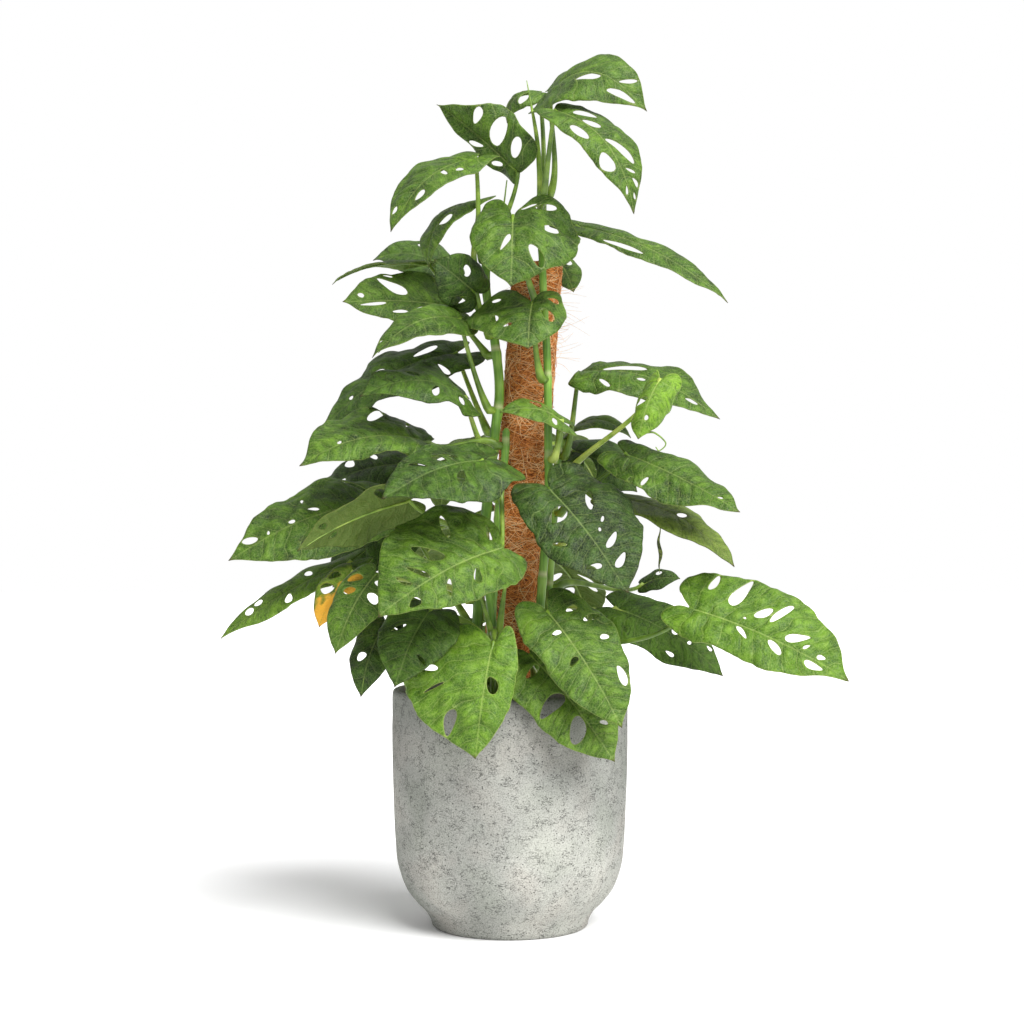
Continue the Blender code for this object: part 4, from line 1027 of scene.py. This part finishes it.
def vein_numbers(leaf, place, reach):
    """Vein number of each point."""
    half = halves(leaf, reach)
    out = np.abs(reach) * half / leaf.length
    table = np.linspace(-1, leaf.veins + 1.5, 90)
    grid = vein_places(leaf, table[None, :], out[:, None])
    grid = np.maximum.accumulate(grid, axis=1)
    low = np.clip((grid < place[:, None]).sum(axis=1) - 1, 0, len(table) - 2)
    rows = np.arange(len(place))
    gap = np.maximum(grid[rows, low + 1] - grid[rows, low], 1e-9)
    share = np.clip((place - grid[rows, low]) / gap, 0, 1)
    return table[low] + share * (table[1] - table[0])


# %% Flat outline and holes
# Place and reach along one half; a place below 0 is a share of the lobe's length
HALF_OUTLINE = [
    (-0.50, 0.13), (-1.00, 0.37), (-0.78, 0.65), (0.04, 0.87), (0.20, 0.99),
    (0.40, 1.00), (0.58, 0.88), (0.76, 0.62), (0.89, 0.30), (0.955, 0.10)]
OUTLINE_STEP = 0.0030
RAGGED = ((28, 0.120), (110, 0.045))    # waves per metre, and their height as a share
# What a hole keeps free: of the rim, the midrib and the next hole
RIM_CLEAR = 0.0016
RIB_CLEAR = 0.0010
HOLE_CLEAR = 0.0014


def flat_side(leaf, sign):
    """One side of the outline, from the notch to the tip, in metres on the flat blade."""
    half = half_of(leaf, sign)
    line = [(0.0, 0.0, 0.0)]
    for place, reach in HALF_OUTLINE:
        along = place * leaf.lobe if place < 0 else place
        line.append((along * leaf.length, reach * half, 0.0))
    line.append((leaf.length, 0.0, 0.0))
    made = [point[:2] for point in smooth_line(line, OUTLINE_STEP)]
    for point in made[1:-1]:
        uneven = 1
        for waves, height in RAGGED:
            spot = Vector((point[0] * waves, point[1] * waves, leaf.phase * 50 + sign))
            uneven += height * noise.noise(spot)
        point[1] = max(point[1] * uneven, 0.0005)
    return [(float(x), float(y) * sign) for x, y in made]


def is_inside(points, loop):
    """Which of the points lie inside a closed loop."""
    loop = np.asarray(loop)
    ahead = np.roll(loop, -1, axis=0)
    x, y = points[:, :1], points[:, 1:]
    rise = ahead[:, 1] - loop[:, 1]
    rise = np.where(rise == 0, 1e-12, rise)
    crosses = (loop[:, 1] > y) != (ahead[:, 1] > y)
    left = x < (ahead[:, 0] - loop[:, 0]) * (y - loop[:, 1]) / rise + loop[:, 0]
    return (crosses & left).sum(axis=1) % 2 == 1


def distance_to(points, loop):
    """Shortest distance from each point to a closed loop."""
    loop = np.asarray(loop)
    step = np.roll(loop, -1, axis=0) - loop
    size = np.maximum((step ** 2).sum(axis=1), 1e-18)
    toward = points[:, None, :] - loop[None, :, :]
    share = np.clip((toward * step).sum(axis=2) / size, 0, 1)
    gap = toward - share[:, :, None] * step
    return np.sqrt((gap ** 2).sum(axis=2).min(axis=1))


def vein_ends(leaf, sign, outline):
    """How far out each side vein runs before it meets the edge, in leaf lengths."""
    numbers = np.linspace(0, leaf.veins, 45)
    outs = np.linspace(0.004, 0.8, 160)
    ends = []
    for number in numbers:
        places = vein_places(leaf, np.full(len(outs), number), outs)
        points = np.stack([places * leaf.length, sign * outs * leaf.length], axis=1)
        kept = is_inside(points, outline)
        ends.append(outs[int(np.argmin(kept))] if not kept.all() else outs[-1])
    return numbers, np.array(ends)


def vein_holes(leaf, outline):
    """Holes between side veins, for a leaf that the photo doesn't show well."""
    draw = random.Random(leaf.name)
    made = []
    for sign, count in zip((1, -1), leaf.holes):
        ends = vein_ends(leaf, sign, outline)
        gaps = list(range(2, leaf.veins - 2))
        for gap in sorted(draw.sample(gaps, min(len(gaps), count))):
            inner = draw.uniform(0.18, 0.32)
            outer = inner + draw.uniform(0.36, 0.52)
            number = gap + 0.5
            outs = np.array([inner, outer]) * float(np.interp(number, *ends))
            places = vein_places(leaf, np.array([number, number]), outs)
            gap_width = leaf.length * VEIN_SPAN / (leaf.veins - 2)
            made.append([(float(places[0]) * leaf.length, sign * outs[0] * leaf.length),
                         (float(places[1]) * leaf.length, sign * outs[1] * leaf.length),
                         gap_width * draw.uniform(0.45, 0.85)])
    return made


def known_holes(leaf):
    """Holes measured from the photo, in metres on the flat blade."""
    made = []
    for place, reach, far_place, far_reach, wide in HOLES[leaf.name]:
        half = half_of(leaf, reach)
        made.append([(place * leaf.length, reach * half),
                     (far_place * leaf.length, far_reach * half), wide * MM])
    return made


def hole_loop(start, stop, wide, scale, phase):
    """A closed egg-shaped loop between two points, a little uneven."""
    start = np.array(start)
    stop = np.array(stop)
    middle = (start + stop) / 2
    reach = max(float(np.linalg.norm(stop - start)), wide * 1.1) / 2 * scale
    ahead = unit(stop - start)
    beside = np.array((-ahead[1], ahead[0]))
    steps = 14 + 2 * int(reach / 0.004)
    loop = []
    for step in range(steps):
        angle = 2 * math.pi * step / steps
        uneven = 1 + 0.07 * math.sin(2 * angle + phase) + 0.05 * math.sin(3 * angle - phase)
        across = wide / 2 * scale * math.sin(angle) * (1 + 0.25 * math.cos(angle)) * uneven
        loop.append(middle + ahead * reach * math.cos(angle) * uneven + beside * across)
    return loop


def hole_loops(leaf, outline):
    """Closed loops of the holes; each is shrunk until it keeps clear of rim, rib and others."""
    draw = random.Random(leaf.name + "_edge")
    plan = known_holes(leaf) if leaf.name in HOLES else vein_holes(leaf, outline)
    loops = []
    for start, stop, wide in plan:
        phase = draw.uniform(0, 6)
        for scale in (1.0, 0.9, 0.8, 0.7, 0.6, 0.5, 0.4, 0.3):
            loop = np.array(hole_loop(start, stop, wide, scale, phase))
            clear = bool(is_inside(loop, outline).all())
            clear &= float(distance_to(loop, outline).min()) > RIM_CLEAR
            clear &= float(np.abs(loop[:, 1]).min()) > RIB_CLEAR
            clear &= bool((loop[:, 1] > 0).all() or (loop[:, 1] < 0).all())
            for other in loops:
                clear &= float(distance_to(loop, other).min()) > HOLE_CLEAR
                clear &= not bool(is_inside(loop, other).any())
            if clear:
                loops.append([tuple(map(float, point)) for point in loop])
                break
    return loops


# %% [markdown]
# ### Building a blade
#
# The outline, the holes and the midrib are fixed edges, and a honeycomb of points fills the
# rest. A Delaunay triangulation joins them without crossing those edges. Each point is then
# lifted: hollow at the veins, swollen between them, and puckered by noise. Solidify gives the
# sheet its 0.7 mm, and a second material slot for the underside.

# %% Blade mesh
POINT_GAP = 0.0027
RIB_STEP = 0.003
BLADE_THICKNESS = 0.7 * MM
BOX_MARGIN = 0.8 * MM
# Relief in units of a leaf's puff, with the waves per metre of its noise
VEIN_RELIEF = 1.7
PUCKERS, PUCKER_WAVES = 2.8, 62
SWELLS, SWELL_WAVES = 5.5, 17
RIB_SINK, RIB_WIDTH = 0.9 * MM, 0.0022
RIM_BAND = 0.014


def flat_mesh(leaf):
    """Points and triangles of the flat blade, with their distance to the nearest edge."""
    outline = flat_side(leaf, 1) + flat_side(leaf, -1)[-2:0:-1]
    loops = hole_loops(leaf, outline)
    points = list(outline)
    edges = [(step, (step + 1) % len(outline)) for step in range(len(outline))]
    for loop in loops:
        start = len(points)
        points += loop
        edges += [(start + step, start + (step + 1) % len(loop)) for step in range(len(loop))]
    tip = len(flat_side(leaf, 1)) - 1
    spine = [0]
    for step in range(1, int(leaf.length / RIB_STEP)):
        spine.append(len(points))
        points.append((step * RIB_STEP, 0.0))
    edges += list(zip(spine, spine[1:] + [tip]))
    low = np.array(points).min(axis=0)
    high = np.array(points).max(axis=0)
    across = np.arange(low[0], high[0], POINT_GAP)
    rows = np.arange(low[1], high[1], POINT_GAP * 0.866)
    grid = np.array([(x + (row % 2) * POINT_GAP / 2, y) for row, y in enumerate(rows)
                     for x in across])
    kept = is_inside(grid, outline) & (distance_to(grid, outline) > POINT_GAP * 0.5)
    kept &= np.abs(grid[:, 1]) > POINT_GAP * 0.6
    for loop in loops:
        kept &= ~is_inside(grid, loop) & (distance_to(grid, loop) > POINT_GAP * 0.45)
    points += [tuple(point) for point in grid[kept]]
    verts, _, faces, _, _, _ = delaunay_2d_cdt([Vector(map(float, point)) for point in points],
                                               edges, [], 1, 1e-8)
    flat = np.array([tuple(vert) for vert in verts])
    middles = flat[np.array(faces)].mean(axis=1)
    solid = is_inside(middles, outline)
    for loop in loops:
        solid &= ~is_inside(middles, loop)
    faces = [face for face, wanted in zip(faces, solid) if wanted]
    to_rim = distance_to(flat, outline)
    to_edge = np.min([to_rim] + [distance_to(flat, loop) for loop in loops], axis=0)
    return flat, faces, to_edge, to_rim


def field(flat, scale, seed):
    """Smooth noise from -1 to 1 on the flat blade; scale is in waves per metre."""
    return np.array([noise.noise(Vector((x * scale, y * scale, seed))) for x, y in flat])


def build_blade(leaf):
    flat, faces, to_edge, to_rim = flat_mesh(leaf)
    place = flat[:, 0] / leaf.length
    half = np.where(flat[:, 1] > 0, half_of(leaf, 1), half_of(leaf, -1))
    reach = flat[:, 1] / half
    from_rib = np.abs(flat[:, 1])
    drift = field(flat, 38, leaf.phase * 30)
    veins = vein_numbers(leaf, place, reach) + 0.60 * drift * np.clip(from_rib / 0.012, 0, 1)
    between = np.abs(np.sin(math.pi * veins)) ** 0.6
    calm = np.clip(from_rib / 0.008, 0, 1) * np.clip(to_edge / 0.005, 0.15, 1)
    # Side veins sink between puffed tissue, most of all beside the midrib
    near_rib = 0.35 + 1.5 * np.exp(-(from_rib / (0.42 * half)) ** 2)
    relief = VEIN_RELIEF * leaf.puff * (between - 0.6) * calm * near_rib
    relief *= 0.7 + field(flat, 25, leaf.phase)
    relief -= RIB_SINK * np.exp(-(from_rib / RIB_WIDTH) ** 2) * np.clip((1 - place) * 5, 0, 1)
    relief += leaf.puff * PUCKERS * field(flat, PUCKER_WAVES, leaf.phase * 40) * calm
    swell = relief / leaf.puff
    slow = field(flat, SWELL_WAVES, leaf.phase * 70) * np.clip(from_rib / 0.02, 0, 1)
    relief += leaf.puff * SWELLS * slow
    near_rim = np.clip(1 - to_rim / RIM_BAND, 0, 1) ** 1.5
    relief += leaf.ruffle * field(flat, 34, leaf.phase * 20) * near_rim
    points = blade_points(leaf, place, reach)
    points += blade_normals(leaf, place, reach) * relief[:, None]
    low, high = np.array(cad_box[0]), np.array(cad_box[1])
    points = np.clip(points, low + BOX_MARGIN, high - BOX_MARGIN)
    shades = leaf.shade + 0.16 * field(flat, 24, leaf.phase * 90)
    # Painted light: the shade number rises where the blade puffs up and falls in its hollows
    blade = mesh_piece(leaf.name, points, [tuple(reversed(face)) for face in faces],
                       {"vein": veins, "from_rib": from_rib / MM, "to_edge": to_edge / MM,
                        "shade": shades + 0.040 * swell, "place": place, "reach": reach})
    sheet = blade.modifiers.new("thickness", "SOLIDIFY")
    sheet.thickness = BLADE_THICKNESS
    sheet.offset = 0
    sheet.material_offset = 1
    for finish in leaf_finishes(leaf):
        blade.data.materials.append(finish)
    apply_steps(blade)
    return blade


# %% [markdown]
# ### Stalks
#
# A leaf stalk leaves the stem from a flattened sheath, bows upwards and ends in a short thick
# knee, which turns the blade to the light. It runs on under the blade as the midrib. One tube
# makes all of it: wide at the sheath, thin in the middle, thick at the knee, and then tapered
# to the tip, half sunk into the underside.

# %% Stalk mesh
STALK_SIDES = 8
SHEATH_RADIUS = 0.0042
KNEE_LENGTH = 0.007
SHEATH_SHARE = 0.22
MIDRIB_POINTS = 26


def stalk_line(leaf):
    """Points and radii of a stalk, from the stem to the leaf's tip."""
    centre, radius, heading = stem_at(leaf.stem, leaf.hang)
    toward = leaf.base - centre
    flat = unit(toward - heading * float(toward @ heading))
    start = centre + flat * (radius - 0.0025)
    first = centre + flat * (radius + 0.0063)
    span = float(np.linalg.norm(leaf.base - first))
    root = unit((leaf.base + leaf.tip) / 2 + leaf.up * leaf.arch * 2 * leaf.length - leaf.base)
    upward = np.array((0, 0, 1.0))
    arrive = unit(unit(leaf.base - first) * 0.5 + upward * 0.5 + root * 0.15)
    bend_low = first + (flat * 0.4 + upward * 0.6) * span * 0.35 + leaf.bend
    bend_high = leaf.base - arrive * span * 0.30 + leaf.bend * 0.5
    steps = max(10, int(span / 0.005))
    line = [start]
    radii = [SHEATH_RADIUS]
    for step in range(steps + 1):
        t = step / steps
        line.append(first * (1 - t) ** 3 + bend_low * 3 * t * (1 - t) ** 2
                    + bend_high * 3 * t * t * (1 - t) + leaf.base * t ** 3)
        knee = math.exp(-((1 - t) * span / KNEE_LENGTH) ** 2)
        sheath = math.exp(-(t / SHEATH_SHARE) ** 2)
        radii.append((0.0036 - 0.0014 * t) * (1 + 0.22 * knee) + 0.0016 * sheath)
    shares = np.linspace(0.03, 0.94, MIDRIB_POINTS)
    beside = np.full(MIDRIB_POINTS, 1e-6)
    for share, under, normal in zip(shares, blade_points(leaf, shares, beside),
                                    blade_normals(leaf, shares, beside)):
        wide = 0.00135 * (1 - share) + 0.0003
        line.append(under - normal * (wide + 0.55 * MM))
        radii.append(wide)
    return line, radii


def build_stalk(leaf):
    line, radii = stalk_line(leaf)
    shades = [leaf.shade] * len(line) * STALK_SIDES
    return tube_piece(leaf.name + "_stalk", line, radii, STALK_SIDES, {"shade": shades})


# %% [markdown]
# ### Living leaf
#
# The upper side of the leaf is a waxy skin over soft green tissue: satin, not glossy, with a
# cool sheen where it faces the sky. Along each side vein runs a pale line 1 mm wide in a hollow
# darkened by painted shade, and the swollen parts between are lighter with painted light; the
# wrinkles get painted shade in their furrows and a painted highlight on their crests. The rim
# has a pale edge under 1 mm wide, partly its own colour and partly a painted highlight, and tips
# often end in dry brown. The underside is duller and paler. Young leaves are yellow green, old
# ones dark, so the same recipe is mixed from a few greens for each group.

# %% Leaf finishes
GREENS = {
    # name: deep hollow (painted shade), middle, light swelling (painted light), pale vein
    # (pale also paints the highlight on crests), underside, rim (partly a painted highlight)
    "mid": ("#193005", "#3b5c10", "#608320", "#9cae62", "#5a7030", "#7d8d46"),
    "bright": ("#29490a", "#4c7016", "#6e9524", "#a4b862", "#657e32", "#98a858"),
    "dark": ("#122406", "#2d4a0e", "#4e711c", "#869a56", "#4c642c", "#3a421a"),
    "olive": ("#2f4412", "#4b6220", "#6a812e", "#95985a", "#5c7236", "#4f5222"),
    "yellow": ("#3a560f", "#557518", "#7c8c28", "#b0ae5a", "#7c8034", "#6a6628"),
}


def leaf_skin(name, deep, middle, light, pale, rim, gloss, raised, turning):
    """One face of a leaf; raised is 1 where veins stand out and -1 where they are sunk."""
    finish, add, shader, place = new_finish(name)
    number = add("Attribute", {"attribute_name": "vein"})
    rib = add("Attribute", {"attribute_name": "from_rib"})
    edge = add("Attribute", {"attribute_name": "to_edge"})
    own = add("Attribute", {"attribute_name": "shade"})
    along = add("Attribute", {"attribute_name": "place"})
    # Distance from the nearest side vein: 0 on it, 0.5 halfway to the next
    away = add("Math", {"operation": "PINGPONG", 1: 0.5}, {0: number})
    mottle = add("TexNoise", {"Scale": 70.0, "Detail": 3.0}, {"Vector": place})
    drift = add("Math", {"operation": "MULTIPLY_ADD", 1: 1.1, 2: -0.55}, {0: mottle})
    level = add("Math", {"operation": "ADD", 1: 0.41}, {0: drift})
    # Painted light between the side veins and painted shade at them, over the leaf's own tone
    swelling = add("Math", {"operation": "MULTIPLY_ADD", 1: 0.18}, {0: away, 2: level})
    shaded = add("Math", {"operation": "ADD"}, {0: swelling, 1: own})
    tissue = add("ValToRGB", {"stops": [(0.08, deep), (0.40, middle), (0.82, light)]},
                 {"Fac": shaded})
    # Wrinkles that run with the side veins, 1 to 4 mm apart: painted shade in the furrows and a
    # painted highlight on the crests
    across = add("Math", {"operation": "MULTIPLY", 1: 3.2}, {0: number})
    outward = add("Math", {"operation": "MULTIPLY", 1: 0.06}, {0: rib})
    leaf_turn = add("Math", {"operation": "MULTIPLY", 1: 37.0}, {0: own})
    spread = add("CombineXYZ", None, {"X": across, "Y": outward, "Z": leaf_turn})
    wrinkle = add("TexNoise", {"Scale": 1.0, "Detail": 5.0, "Roughness": 0.62, "Distortion": 0.5},
                  {"Vector": spread})
    furrow_shaded = painted(add, tissue, wrinkle, [(0.34, 0.72), (0.49, 0.0)], deep)
    crest_highlit = painted(add, furrow_shaded, wrinkle, [(0.56, 0.0), (0.74, 0.26)], pale)
    # The furrow of each side vein: painted shade, a dark stroke that starts at the midrib and
    # fades outwards
    gully_shade = add("ValToRGB", {"stops": [(0.02, 0.60), (0.13, 0.0)]}, {"Fac": away})
    fading = add("MapRange", {"From Min": 2.0, "From Max": 22.0, "To Min": 1.0, "To Max": 0.10},
                 {"Value": rib})
    broken = add("MapRange", {"From Min": 0.40, "From Max": 0.62}, {"Value": mottle})
    stroke = add("Math", {"operation": "MULTIPLY"}, {0: gully_shade, 1: fading})
    strokes = add("Math", {"operation": "MULTIPLY"}, {0: stroke, 1: broken})
    gully_shaded = add("Mix", {"data_type": "RGBA", 7: linear(deep)}, {0: strokes, 6: crest_highlit})
    # Net of the finest veins, drawn 3 mm apart so that it still shows
    net = add("TexVoronoi", {"Scale": 340.0, "feature": "DISTANCE_TO_EDGE"}, {"Vector": place})
    netted = painted(add, gully_shaded, net, [(0.0, 0.20), (0.12, 0.0)], pale)
    veined = painted(add, netted, away, [(0.006, 0.26), (0.035, 0.0)], pale)
    rib_line = add("MapRange", {"From Min": 0.4, "From Max": 1.3, "To Min": 0.48, "To Max": 0.0},
                   {"Value": rib})
    thinner = add("MapRange", {"From Min": 0.0, "From Max": 0.95, "To Min": 1.0, "To Max": 0.35},
                  {"Value": along})
    rib_fade = add("Math", {"operation": "MULTIPLY"}, {0: rib_line, 1: thinner})
    ribbed = add("Mix", {"data_type": "RGBA", 7: linear(pale)}, {0: rib_fade, 6: veined})
    # The rim line: partly the margin's own colour, partly a painted highlight at the edge
    rim_line = add("MapRange", {"From Min": 0.1, "From Max": 1.0, "To Min": 0.55, "To Max": 0.0},
                   {"Value": edge})
    rimmed = add("Mix", {"data_type": "RGBA", 7: linear(rim)}, {0: rim_line, 6: ribbed})
    if turning:
        # A dying patch: orange yellow, on one half and towards the tip
        half = add("Attribute", {"attribute_name": "reach"})
        patch = add("Math", {"operation": "MULTIPLY_ADD", 1: turning}, {0: half, 2: along})
        blurred = add("Math", {"operation": "ADD"}, {0: patch, 1: drift})
        rimmed = painted(add, rimmed, blurred, [(0.14, 0.0), (0.32, 1.0)], "#d6a032")
    tip = add("MapRange", {"From Min": 0.965, "From Max": 0.99, "To Min": 0.0, "To Max": 0.75},
              {"Value": along})
    dry = add("Mix", {"data_type": "RGBA", 7: linear("#3f2f1a")}, {0: tip, 6: rimmed})
    # Veins as relief, and fine puckers 2 to 4 mm wide
    soft = add("ValToRGB", {"stops": [(0.0, 0.0), (0.16, 0.8), (0.5, 1.0)]}, {"Fac": away})
    crease = add("TexNoise", {"Scale": 260.0, "Detail": 2.0}, {"Vector": place})
    height = add("Math", {"operation": "MULTIPLY_ADD", 1: -0.7 * raised}, {0: soft, 2: crease})
    folds = add("Math", {"operation": "MULTIPLY_ADD", 1: -3.5 * raised}, {0: wrinkle, 2: height})
    bump = add("Bump", {"Strength": 0.62, "Distance": 1.0 * MM}, {"Height": folds})
    dull = add("MapRange", {"To Min": gloss - 0.07, "To Max": gloss + 0.10}, {"Value": mottle})
    fill(shader, {"Specular IOR Level": 0.24 if raised < 0 else 0.12},
         {"Base Color": dry, "Roughness": dull, "Normal": bump})
    return finish


skins = {}
for tone, (deep, middle, light, pale, under, rim) in GREENS.items():
    turning = -0.9 if tone == "yellow" else 0
    upper = leaf_skin(f"waxy_leaf_{tone}", deep, middle, light, pale, rim, 0.44, -1.0, turning)
    lower = leaf_skin(f"dull_underside_{tone}", middle, under, under, pale, rim, 0.60, 1.0,
                      turning)
    skins[tone] = (upper, lower)

# Stalks have a living skin like the stems, paler and blotched
stalk_skin, add, shader, place = new_finish("waxy_green_stalk")
blotch = add("TexNoise", {"Scale": 55.0, "Detail": 3.0}, {"Vector": place})
own = add("Attribute", {"attribute_name": "shade"})
both = add("Math", {"operation": "ADD"}, {0: blotch, 1: own})
stalk_green = add("ValToRGB", {"stops": [(0.34, "#52701c"), (0.54, "#7b9a32"), (0.74, "#a6b854")]},
                  {"Fac": both})
fill(shader, {"Roughness": 0.42, "Coat Weight": 0.12, "Coat Roughness": 0.35},
     {"Base Color": stalk_green})


def leaf_finishes(leaf):
    return (*skins[leaf.tone], stalk_skin)


# %% All leaves
for leaf in LEAVES:
    blade = build_blade(leaf)
    stalk = build_stalk(leaf)
    stalk.data.materials.clear()
    for finish in leaf_finishes(leaf):
        stalk.data.materials.append(finish)
    for face in stalk.data.polygons:
        face.material_index = 2
    show_only(blade)
    stalk.select_set(True)
    bpy.ops.object.join()
    settle(blade, leaf.name.replace("leaf_", "blade_"), None, leaf.name)

# %% [markdown]
# ## Small loose things
#
# A few small things make it a grown plant: a sheath that still stands at the top, a bare stalk,
# old sheaths at the foot, a bent tendril, a dried strip of leaf, thin roots that feel their way
# to the coir, and coir hairs that stick out. Each is a thin swept tube, so one function makes
# them all from given points.

# %% Loose stalks, roots and hairs
HAIR_TONE = 0.75


def swept_piece(name, tubes, tone=None):
    """A mesh of tubes (line, radii, sides, flat); flat squeezes a tube from front to back."""
    points, faces = [], []
    for line, radii, sides, flat in tubes:
        span = float(np.linalg.norm(np.array(line[-1]) - line[0]))
        path = smooth_line(line, max(0.002, span / 24))
        wide = np.interp(np.linspace(0, 1, len(path)), np.linspace(0, 1, len(radii)), radii)
        rings = tube_rings(path, wide, sides)
        middle = np.array(path)[:, None, :]
        rings = middle + (rings - middle) * np.array((1.0, flat, 1.0))
        faces += tube_faces(len(path), sides, len(points))
        points += list(rings.reshape(-1, 3))
    return mesh_piece(name, points, faces, {"tone": [tone] * len(points)} if tone else None)


# Sheath spike, bare stalk, tendril, two old sheaths at the foot
STALK_TUBES = [
    ([(0.0340, -0.0140, 0.826), (0.0335, -0.0140, 0.860), (0.0300, -0.0135, 0.900),
      (0.0190, -0.0120, 0.962)], [0.0034, 0.0030, 0.0020, 0.0004], 8, 0.5),
    ([(-0.0200, -0.0020, 0.797), (-0.0090, -0.0080, 0.812), (-0.0034, -0.0100, 0.849)],
     [0.0016, 0.0011, 0.0007], 7, 1.0),
    ([(0.1440, -0.1360, 0.556), (0.1560, -0.1320, 0.556), (0.1680, -0.1300, 0.545),
      (0.1610, -0.1300, 0.537), (0.1570, -0.1310, 0.541)], [0.0012, 0.0009, 0.0006], 6, 1.0),
    ([(-0.0170, -0.0780, 0.234), (-0.0180, -0.0790, 0.300), (-0.0210, -0.0800, 0.338),
      (-0.0330, -0.0800, 0.380)], [0.0050, 0.0048, 0.0044, 0.0008], 9, 0.6),
    ([(-0.0130, -0.0800, 0.234), (-0.0130, -0.0810, 0.300), (-0.0110, -0.0820, 0.345),
      (-0.0030, -0.0820, 0.406)], [0.0046, 0.0046, 0.0040, 0.0008], 9, 0.6)]
stalks = swept_piece("loose_stalks", STALK_TUBES)
settle(stalks, "loose_stalks", stalk_skin)

DRIED_TUBE = ([(0.1668, -0.0615, 0.460), (0.1672, -0.0610, 0.450), (0.1652, -0.0600, 0.438),
               (0.1678, -0.0600, 0.424), (0.1660, -0.0600, 0.412), (0.1668, -0.0600, 0.403)],
              [0.0004, 0.0007, 0.0018, 0.0024, 0.0010, 0.0003], 8, 0.3)
dried = swept_piece("dried_strip", [DRIED_TUBE])
dry_leaf = noise_finish("dried_leaf_strip", {"Scale": 260.0, "Detail": 3.0},
                        [(0.40, "#3f4a1e"), (0.62, "#77833f")], {"Roughness": 0.7})
settle(dried, "dried_strip", dry_leaf)

# Thin brown roots from the joints of the front stems to the coir
draw = random.Random("roots")
roots = []
for name in ("stem_left", "stem_front_right", "stem_front_left"):
    for height in JOINTS[name][:7]:
        centre, radius, _ = stem_at(name, height - 0.006)
        toward = unit(pole_axis(height) - np.array((0, 0, 0.02)) - centre)
        side = np.array((draw.uniform(-0.006, 0.006), -0.004, draw.uniform(-0.02, 0.0)))
        start = centre + toward * radius * 0.6
        line = [start, start + toward * 0.006 + side * 0.5, start + toward * 0.013 + side]
        roots.append((line, [0.0010, 0.0008, 0.0004], 5, 1.0))
root_piece = swept_piece("aerial_roots", roots)
root_skin = noise_finish("corky_brown_root", {"Scale": 400.0, "Detail": 3.0},
                         [(0.38, "#5a3d22"), (0.64, "#94703f")], {"Roughness": 0.85})
settle(root_piece, "aerial_roots", root_skin)

# Coir hairs that stand off the pole's right side, as in the photo, and a few elsewhere
HAIR_COUNT = 70
HIGH_HAIRS = 34
hairs = []
for number in range(HAIR_COUNT):
    high = number < HIGH_HAIRS
    height = draw.uniform(0.640, 0.735) if high else draw.uniform(0.26, 0.74)
    turn = draw.uniform(-0.9, 0.5) if high else draw.uniform(0, 2 * math.pi)
    outward = np.array((math.cos(turn), math.sin(turn), 0.0))
    foot = pole_axis(height) + outward * 0.027
    reach = draw.uniform(0.012, 0.032) if high else draw.uniform(0.006, 0.014)
    curl = np.array((draw.uniform(-1, 1), draw.uniform(-1, 1), draw.uniform(-1, 1))) * reach * 0.6
    line = [foot, foot + outward * reach * 0.5 + curl * 0.3, foot + outward * reach + curl]
    hairs.append((line, [0.00022, 0.00018, 0.00010], 3, 1.0))
hair_piece = swept_piece("coir_hairs", hairs, HAIR_TONE)
settle(hair_piece, "coir_hairs", coir_fibre)

# %% [markdown]
# ## The studio
#
# A white floor under a white sky gives the clean ground of the photo. A large soft sun from
# the front right gives the lit sides and the soft shadow behind the pot, on its left.

# %% Floor and light
FLOOR_SIZE = 14
SUN_HEADING = Vector((-0.62, 0.78, -1.15))
SUN_ENERGY = 5.3
SUN_SPREAD = math.radians(48)
SKY_SEEN = 1.0
SKY_LIGHT = 0.56
deselect_all()
bpy.ops.mesh.primitive_plane_add(size=FLOOR_SIZE, location=(0, 2.0, 0))
floor = bpy.context.object
floor.name = "studio_floor"
paint = noise_finish("matt_white_floor_paint", {"Scale": 3.0, "Detail": 2.0},
                     [(0.3, "#f6f6f6"), (0.7, "#fafafa")],
                     {"Roughness": 0.95, "Specular IOR Level": 0.0})
floor.data.materials.append(paint)
floor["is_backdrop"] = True

bpy.ops.object.light_add(type="SUN", location=(1.5, -1.8, 2.4))
key = bpy.context.object
key.rotation_mode = "QUATERNION"
key.rotation_quaternion = SUN_HEADING.to_track_quat("-Z", "Y")
key.data.energy = SUN_ENERGY
key.data.angle = SUN_SPREAD
sky = bpy.data.worlds.new("white_studio")
sky.use_nodes = True
# The ground seen past the plant stays white, while the light that it sheds is weaker, so that
# the inner leaves fall into shade as they do in the photo
seen = add_node(sky.node_tree, "LightPath")
glow = add_node(sky.node_tree, "Math",
                {"operation": "MULTIPLY_ADD", 1: SKY_SEEN - SKY_LIGHT, 2: SKY_LIGHT},
                {0: seen.outputs["Is Camera Ray"]})
fill(sky.node_tree.nodes["Background"], {"Color": (1.0, 1.0, 1.0, 1.0)}, {"Strength": glow})
bpy.context.scene.world = sky
bpy.context.scene.view_settings.view_transform = "Standard"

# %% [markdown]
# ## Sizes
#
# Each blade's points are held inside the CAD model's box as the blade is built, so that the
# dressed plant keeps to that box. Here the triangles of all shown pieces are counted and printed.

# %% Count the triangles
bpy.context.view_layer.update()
total = sum(len(face.vertices) - 2 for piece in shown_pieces() for face in piece.data.polygons)
print("triangles in all:", total)
